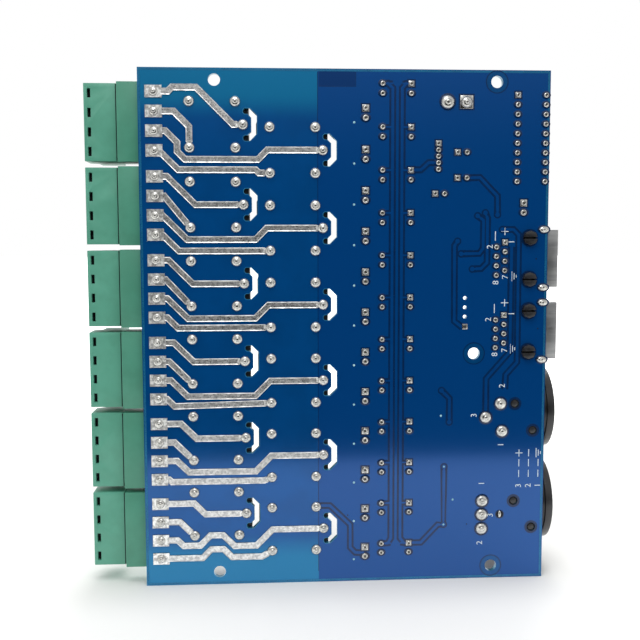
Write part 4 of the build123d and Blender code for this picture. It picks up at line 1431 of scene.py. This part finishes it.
@dataclass
class SmallParts:
    """Regulator, capacitors, lamps, optocouplers and surface mounted parts."""

    leg_out: float = 0.9
    leg_rise: float = 0.3
    leg_width: float = 0.35
    leg_thickness: float = 0.16
    package_edge: float = 0.12
    package_y: tuple[float, float] = (3.4, 12.4)
    dimple_offset: float = 2.6
    shoulder_y: float = 1.75
    opto_edge: float = 0.1
    opto_over_deg: float = 20.0
    opto_pitch: float = 2.54
    opto_lead: float = 0.26
    crystal_corner: float = 1.6
    least_choke: float = 7.5
    least_quad: float = 6.8
    least_can: float = 8.0
    least_tab: float = 6.0
    least_wide: float = 4.0
    least_dual: float = 2.0
    marked_side: float = 2.0
    resistor_x: float = 75.6
    resistor_aside: float = 1.5
    ceramics: tuple[Place, ...] = (
        (97.0, 96.4), (97.0, 92.6), (84.4, 96.4), (84.4, 88.8), (94.0, 85.0), (94.0, 79.5),
    )
    can_height: float = 11.0
    stripe_reach: float = 2.9
    stripe_angle: float = 0.36

    def build(self) -> None:
        """Builds them all."""
        self.regulator()
        self.capacitors()
        self.lamps()
        self.optocouplers()
        self.surface_parts()
        self.resistors()

    def regulator(self) -> None:
        """Builds the regulator: a moulded package with a metal tab, back plate and legs, and a dimple drawn as
        a disc of painted shade.
        """
        low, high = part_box("voltage_regulator")
        foot, top = (low.y + height * MM for height in self.package_y)

        def is_metal(face: bmesh.types.BMFace) -> bool:
            """Tells whether a face is on the tab or the back plate."""
            middle = face.calc_center_median()
            return middle.y > top + HAIR or middle.x > high.x - 2 * HAIR

        part = bevelled(merged_copy("voltage_regulator"), self.package_edge, 1)
        piece = Piece("regulator").add(part, EPOXY)
        piece.repaint(TIN_PIN, lambda face: face.calc_center_median().y < foot - HAIR)
        piece.repaint(TINPLATE_SHADED, is_metal)
        # the package's dimple: a disc of painted shade
        dimple = turned([(1.0, 0.0), (1.0, 0.03), (0.85, 0.05), (0.0, 0.05)], 16)
        front = Vector((low.x, (foot + top) / 2 + self.dimple_offset * MM, (low.z + high.z) / 2))
        piece.add(dimple, PAINTED_SHADE, Facing.LEFT.at(front)).place("chip_epoxy", ["voltage_regulator"])

    def optocouplers(self) -> None:
        """Builds the optocouplers with their bent legs and first pin marks, each mark a dot of painted shade
        in its dimple.
        """
        piece = Piece("optocoupler_cases")
        piece.add(bevelled(merged_copy("optocouplers"), self.opto_edge, 1, self.opto_over_deg), EPOXY)
        # first pin mark: a dot of painted shade
        mark = disc(0.45, 0.02, 10)
        half, row = self.opto_lead / 2 * MM, self.opto_pitch / 2 * MM
        for low, high, _ in islands("optocouplers"):
            shoulder = low.y + self.shoulder_y * MM
            middle = (low.z + high.z) / 2
            for side, start, pin_x in zip((-1, 1), (low.x, high.x), OPTO_PINS_X):
                leg = PLAN.at(pin_x, 0.0).x
                left, right = sorted((start, leg + side * half))
                for z in (middle - row, middle + row):
                    piece.add(self.bar((left, shoulder, z), (right, shoulder + 0.25 * MM, z), 1.2), TIN_PIN)
                    piece.add(self.bar((leg - half, low.y, z), (leg + half, shoulder, z), 0.55), TIN_PIN)
            piece.add(mark, PAINTED_SHADE, Facing.PART_SIDE.at(high - Vector((1.1, 0.0, 0.9)) * MM))
        piece.place("chip_epoxy", ["optocouplers"])

    def bar(self, low: Sequence[float], high: Sequence[float], width: float) -> Mesh:
        """Makes a strip of lead between two points in X and Y, as wide as given in Z."""
        half = Vector((0.0, 0.0, width / 2 * MM))
        return block(Vector(low) - half, Vector(high) + half)

    def kind(self, low: Vector, high: Vector) -> Chip:
        """Tells what a surface mounted part is from its box."""
        across, height, up = (high - low) / MM
        tests = (
            (across > self.least_choke, Chip.CHOKE), (across > self.least_quad, Chip.QUAD),
            (up > self.least_can, Chip.CAN), (across > self.least_tab, Chip.TAB),
            (across < self.least_dual or height > self.least_dual, Chip.DIODE), (True, Chip.DUAL),
        )
        return next(kind for passed, kind in tests if passed)

    def surface_parts(self) -> None:
        """Builds the surface mounted parts by kind."""
        piece = Piece("surface_part_cases")
        for low, high, _ in islands("surface_parts"):
            kind = self.kind(low, high)
            if kind is Chip.CAN:
                can = bevelled(block(low, high), self.crystal_corner, 4, along=Facing.PART_SIDE.value)
                piece.add(can, ALUMINIUM)
            elif kind is Chip.CHOKE:
                self.choke(piece, low, high)
            else:
                piece.add(block(low, high, self.package_edge, 1), EPOXY)
                if kind is Chip.DIODE:
                    self.band(piece, low, high)
                else:
                    self.leads(piece, low, high, kind)
        piece.place("chip_epoxy", ["surface_parts"])

    def choke(self, piece: Piece, low: Vector, high: Vector) -> None:
        """Adds a wound drum on its square foot."""
        reach, height = (high.x - low.x) / 2 / MM, (high.y - low.y) / MM
        drum = [(0.0, 0.7), (reach - 0.9, 0.7), (reach - 0.9, 1.3), (reach - 1.5, 1.35), (0.0, 1.35)]
        coil = [(0.0, 1.3), (reach - 1.0, 1.3), (reach - 0.9, 2.3), (reach - 1.0, 3.3), (0.0, 3.3)]
        lid = [
            (0.0, 3.2), (reach - 0.3, 3.2), (reach - 0.1, 3.4), (reach - 0.1, 4.3), (reach - 0.4, height),
            (0.0, height),
        ]
        piece.add(block(low, Vector((high.x, low.y + 0.8 * MM, high.z)), 0.3), FERRITE)
        for profile, finish in ((drum, FERRITE), (coil, COPPER_WIRE), (lid, FERRITE)):
            piece.add(turned(profile, 28), finish, Facing.PART_SIDE.at(centre(low, high, low.y)))

    def band(self, piece: Piece, low: Vector, high: Vector) -> None:
        """Adds a diode's printed band and the tinned tabs at its ends."""
        proud = 0.015 * MM
        near = Vector((low.x - proud, low.y, high.z - 0.9 * MM))
        piece.add(block(near, Vector((high.x + proud, high.y + proud, high.z - 0.4 * MM))), INK)
        half = Vector((0.3 * (high.x - low.x), 0.0, 0.4 * MM))
        for z in (low.z - 0.25 * MM, high.z + 0.25 * MM):
            piece.add(slab(Vector(((low.x + high.x) / 2, low.y, z)), half, 0.3), TIN_PIN)

    def leads(self, piece: Piece, low: Vector, high: Vector, kind: Chip) -> None:
        """Adds a chip's legs, by its kind and width, and its first pin mark as a dot of painted shade."""
        across, height, up = (high - low) / MM
        dual = (4, 1.27) if across > self.least_wide else (3, 0.95)
        count, pitch = {Chip.QUAD: (8, 0.8), Chip.TAB: (3, 2.3)}.get(kind, dual)
        self.legs(piece, low, high, count, pitch)
        if kind is Chip.QUAD:
            self.legs(piece, low, high, count, pitch, upright=False)
        if height * up > self.marked_side:
            # first pin mark: a dot of painted shade
            corner = Vector((low.x + 0.7 * MM, high.y, high.z - 0.7 * MM))
            piece.add(disc(0.3, 0.015, 8), PAINTED_SHADE, Facing.PART_SIDE.at(corner))

    def legs(
        self, piece: Piece, low: Vector, high: Vector, count: int, pitch: float, upright: bool = True
    ) -> None:
        """Adds gull wing legs along two opposite sides of a chip.

        Args:
            piece: the piece that they go to.
            low: the chip's lowest corner.
            high: its highest corner.
            count: how many stand on each side.
            pitch: their distance in millimetres.
            upright: they stand on the upper and lower side, else on the left and right one.
        """
        out, row = (2, 0) if upright else (0, 2)
        middle = (low + high) / 2
        half = self.leg_width / 2 * MM
        strips = ((self.leg_out, low.y + self.leg_thickness * MM), (self.leg_rise, middle.y))
        for i in range(count):
            at = middle[row] + pitch * (i - (count - 1) / 2) * MM
            for side, start in ((-1, low[out]), (1, high[out])):
                for length, top in strips:
                    near, far = Vector((0.0, low.y, 0.0)), Vector((0.0, top, 0.0))
                    near[out], far[out] = sorted((start, start + side * length * MM))
                    near[row], far[row] = at - half, at + half
                    piece.add(block(near, far), TIN_PIN)

    def resistors(self) -> None:
        """Builds the channels' chip resistors and a few chip capacitors beside the controller."""
        piece = Piece("chip_resistors")
        for low, high, _ in islands("optocouplers"):
            z = ((low.z + high.z) / 2 - PLAN.low.z) / MM
            for aside in (self.resistor_aside, -self.resistor_aside):
                self.chip(piece, (self.resistor_x, z + aside), CHIP_GLAZE)
        for place in self.ceramics:
            self.chip(piece, place, CERAMIC)
        piece.place("chip_epoxy")

    def chip(self, piece: Piece, place: Place, finish: Finish) -> None:
        """Adds a chip with tinned ends at a place of the component side."""
        middle = PLAN.at(*place, (PLAN.high - PLAN.low).y / MM)
        piece.add(slab(middle, Vector((0.98, 0.0, 0.588)) * MM, 0.5), finish)
        for aside in (-0.8 * MM, 0.8 * MM):
            end = slab(middle + Vector((aside, 0.0, 0.0)), Vector((0.22, 0.0, 0.62)) * MM, 0.53, 0.05, 1)
            piece.add(end, TIN_PIN)

    def capacitors(self) -> None:
        """Builds the capacitors: a shrunk sleeve with its stripe round a can with a scored top, the score
        lines drawn as strips of painted shade.
        """
        top = self.can_height
        sleeve = turned(
            [(0.0, 0.0), (3.0, 0.0), (3.14, 0.25), (3.14, 1.3), (2.95, 1.55), (3.14, 1.8),
             (3.14, top - 0.3), (3.0, top + 0.05), (2.7, top + 0.15), (2.55, top), (0.0, top)], 28,
        )
        lid = turned([(0.0, top - 0.4), (2.6, top - 0.4), (2.55, top + 0.03), (0.0, top + 0.06)], 28)
        scores = (Vector((1.6, 0.0, 0.08)) * MM, Vector((0.08, 0.0, 1.6)) * MM)
        feet = [centre(low, high, low.y) for low, high, _ in islands("capacitors")]
        piece = Piece("capacitor_cans")
        for foot in feet:
            place = Facing.PART_SIDE.at(foot)
            piece.add(sleeve, SLEEVE, place).add(lid, ALUMINIUM, place)
            # the scored cross on the top: strips of painted shade
            middle = foot + Vector((0.0, (top + 0.05) * MM, 0.0))
            for half in scores:
                piece.add(slab(middle, half, 0.03), PAINTED_SHADE)

        def striped(face: bmesh.types.BMFace) -> bool:
            """Tells whether a face is in the stripe down the left of a sleeve."""
            middle = face.calc_center_median()
            away = middle - min(feet, key=lambda foot: (foot - middle).xz.length)
            reached = away.xz.length > self.stripe_reach * MM
            return reached and abs(math.atan2(away.z, -away.x)) < self.stripe_angle

        piece.repaint(SLEEVE_STRIPE, striped).place("can_aluminium", ["capacitors"])

    def lamps(self) -> None:
        """Builds the lamps, the supply lamp in green: a rim, a barrel and a domed lens."""
        dome = [(1.5 * math.cos(a), 3.45 + 1.5 * math.sin(a)) for a in (0.0, 0.35, 0.7, 1.05, 1.35)]
        lens = turned([(0.0, 0.0), (1.6, 0.0), (1.6, 0.9), (1.5, 0.95), *dome, (0.0, 4.95)], 20)
        piece = Piece("lamp_lenses")
        solids = islands("lamps")
        supply_x = max(low.x for low, _, _ in solids)
        for low, high, _ in solids:
            finish = GREEN_LENS if low.x == supply_x else RED_LENS
            piece.add(lens, finish, Facing.PART_SIDE.at(centre(low, high, low.y)))
        piece.place("lamp_epoxy", ["lamps"])


@dataclass
class Studio:
    """Pale floor, soft lights and the photograph's camera."""

    camera_at_mm: tuple[float, float, float] = (-23.9, -238.167, 23.6)
    camera_turn_deg: tuple[float, float, float] = (-4.95960818, 0.28328214, -3.36988479)
    focal_px: float = 890.0
    image_px: float = 640.0
    sensor_mm: float = 36.0
    floor_front_mm: float = -144.0
    floor_reach_mm: float = 6000.0
    floor_gap_mm: float = 0.05
    floor_depth_mm: float = 10.0
    floor_edge_mm: float = 4.0
    clip_m: Place = (0.01, 50.0)
    near_mm: tuple[float, float] = (90.0, 420.0)
    aside_mm: tuple[float, float] = (110.0, 400.0)
    front_lift: float = 0.17
    front_mm: tuple[float, float] = (-25.0, 5.0)
    mirrored_lift: float = 0.6
    front_light: float = 0.03
    room_light: float = 0.98
    lit_up: Place = (0.06, 0.42)
    lit_aside: Place = (0.36, 0.7)
    lit_behind: Place = (-0.4, 0.1)

    def build(self) -> None:
        """Builds the floor, the world, the lamps and the camera."""
        self.floor()
        self.world()
        self.lamp("top_lamp", (-30, -130, 200), (0, 0, 10), 130, 0.22)
        self.lamp("back_lamp", (60, 330, 330), (0, 0, 0), 300, 1.4)
        self.camera()
        bpy.context.scene.view_settings.view_transform = "Standard"

    def brightest(self, tree: bpy.types.NodeTree, *ramps: Socket) -> Socket:
        """Takes the highest of a few ramps."""
        top, *others = ramps
        for other in others:
            top = calculate(tree, "MAXIMUM", top, other)
        return top

    def floor(self) -> None:
        """Builds the floor, which stops short in front so that the mask's reflection has its edge."""
        low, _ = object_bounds()
        level = low.z - self.floor_gap_mm * MM
        reach = self.floor_reach_mm * MM
        near = Vector((-reach, self.floor_front_mm * MM, level - self.floor_depth_mm * MM))
        part = block(near, Vector((reach, reach, level)), self.floor_edge_mm)
        data = bpy.data.meshes.new("floor")
        part.to_mesh(data)
        part.free()
        made = stand("floor", data)
        paint = bpy.data.materials.new("floor_paper_white")
        paint.use_nodes = True
        tree = paint.node_tree
        tree.nodes.clear()
        path = add_node(tree, "ShaderNodeLightPath").outputs
        place = add_node(tree, "ShaderNodeTexCoord").outputs["Object"]
        axes = add_node(tree, "ShaderNodeSeparateXYZ", links={0: place}).outputs
        near, aside, front = (
            (start * MM, end * MM) for start, end in (self.near_mm, self.aside_mm, self.front_mm)
        )
        glow = self.brightest(
            tree,
            ramp(tree, axes[1], near),
            ramp(tree, calculate(tree, "ABSOLUTE", axes[0]), aside),
            ramp(tree, axes[1], front, (self.front_lift, 0.0)),
        )
        shown = calculate(tree, "MULTIPLY", path["Is Camera Ray"], glow)
        lift = calculate(tree, "MULTIPLY_ADD", path["Is Glossy Ray"], self.mirrored_lift, shown)
        paper = {"Base Color": linear("#e9e9e7"), "Roughness": 0.8, "Emission Color": linear("#ffffff")}
        shader = add_node(tree, "ShaderNodeBsdfPrincipled", paper, {"Emission Strength": lift})
        add_node(tree, "ShaderNodeOutputMaterial", links={"Surface": shader.outputs["BSDF"]})
        made.data.materials.append(paint)
        made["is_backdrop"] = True

    def world(self) -> None:
        """Sets the world: white to the camera, to all else a bright room that is dark behind the camera."""
        world = bpy.data.worlds.new("studio")
        bpy.context.scene.world = world
        world.use_nodes = True
        tree = world.node_tree
        tree.nodes.clear()
        path = add_node(tree, "ShaderNodeLightPath").outputs
        direction = add_node(tree, "ShaderNodeTexCoord").outputs["Generated"]
        axes = add_node(tree, "ShaderNodeSeparateXYZ", links={0: direction}).outputs
        lit = (self.front_light, self.room_light)
        light = self.brightest(
            tree,
            ramp(tree, axes[2], self.lit_up, lit),
            ramp(tree, calculate(tree, "ABSOLUTE", axes[0]), self.lit_aside, lit),
            ramp(tree, axes[1], self.lit_behind, lit),
        )
        room = add_node(tree, "ShaderNodeBackground", {"Color": linear("#ffffff")}, {"Strength": light})
        white = add_node(tree, "ShaderNodeBackground", {"Color": linear("#ffffff"), "Strength": 1.0})
        links = {0: path["Is Camera Ray"], 1: room.outputs[0], 2: white.outputs[0]}
        mix = add_node(tree, "ShaderNodeMixShader", links=links)
        add_node(tree, "ShaderNodeOutputWorld", links={"Surface": mix.outputs[0]})

    def lamp(
        self, name: str, at_mm: tuple[float, float, float], to_mm: tuple[float, float, float],
        size_mm: float, power: float,
    ) -> None:
        """Adds a soft square lamp.

        Args:
            name: the lamp's name.
            at_mm: where it stands.
            to_mm: where it points.
            size_mm: its side.
            power: its power in watts.
        """
        data = bpy.data.lights.new(name, "AREA")
        data.shape = "SQUARE"
        data.size = size_mm * MM
        data.energy = power
        made = stand(name, data)
        at = Vector(at_mm) * MM
        made.location = at
        made.rotation_mode = "QUATERNION"
        made.rotation_quaternion = (Vector(to_mm) * MM - at).to_track_quat("-Z", "Y")

    def camera(self) -> None:
        """Adds the camera where the photograph was taken from."""
        data = bpy.data.cameras.new("camera")
        data.sensor_width = self.sensor_mm
        data.lens = self.focal_px * self.sensor_mm / self.image_px
        data.clip_start, data.clip_end = self.clip_m
        made = stand("camera", data)
        turn = Vector([math.radians(angle) for angle in self.camera_turn_deg])
        axes = Quaternion(turn.normalized(), turn.length).to_matrix()
        right, forward, up = (axes.col[i] for i in range(3))
        made.matrix_world = Matrix.Translation(Vector(self.camera_at_mm) * MM) @ Matrix(
            ((right.x, up.x, -forward.x), (right.y, up.y, -forward.y), (right.z, up.z, -forward.z))
        ).to_4x4()
        bpy.context.scene.camera = made


def main() -> None:
    """Builds every sub-assembly in order."""
    logging.basicConfig(level=logging.INFO, format="%(name)s: %(message)s")
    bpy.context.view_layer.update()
    for assembly in (
        MaskedFaces(), Solder(), Relays(), Terminals(), CodingSwitch(), DataSockets(), RoundConnectors(),
        SmallParts(),
    ):
        assembly.build()
        LOG.info("%s done", type(assembly).__name__)
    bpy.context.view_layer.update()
    Studio().build()


if __name__ == "__main__":
    main()
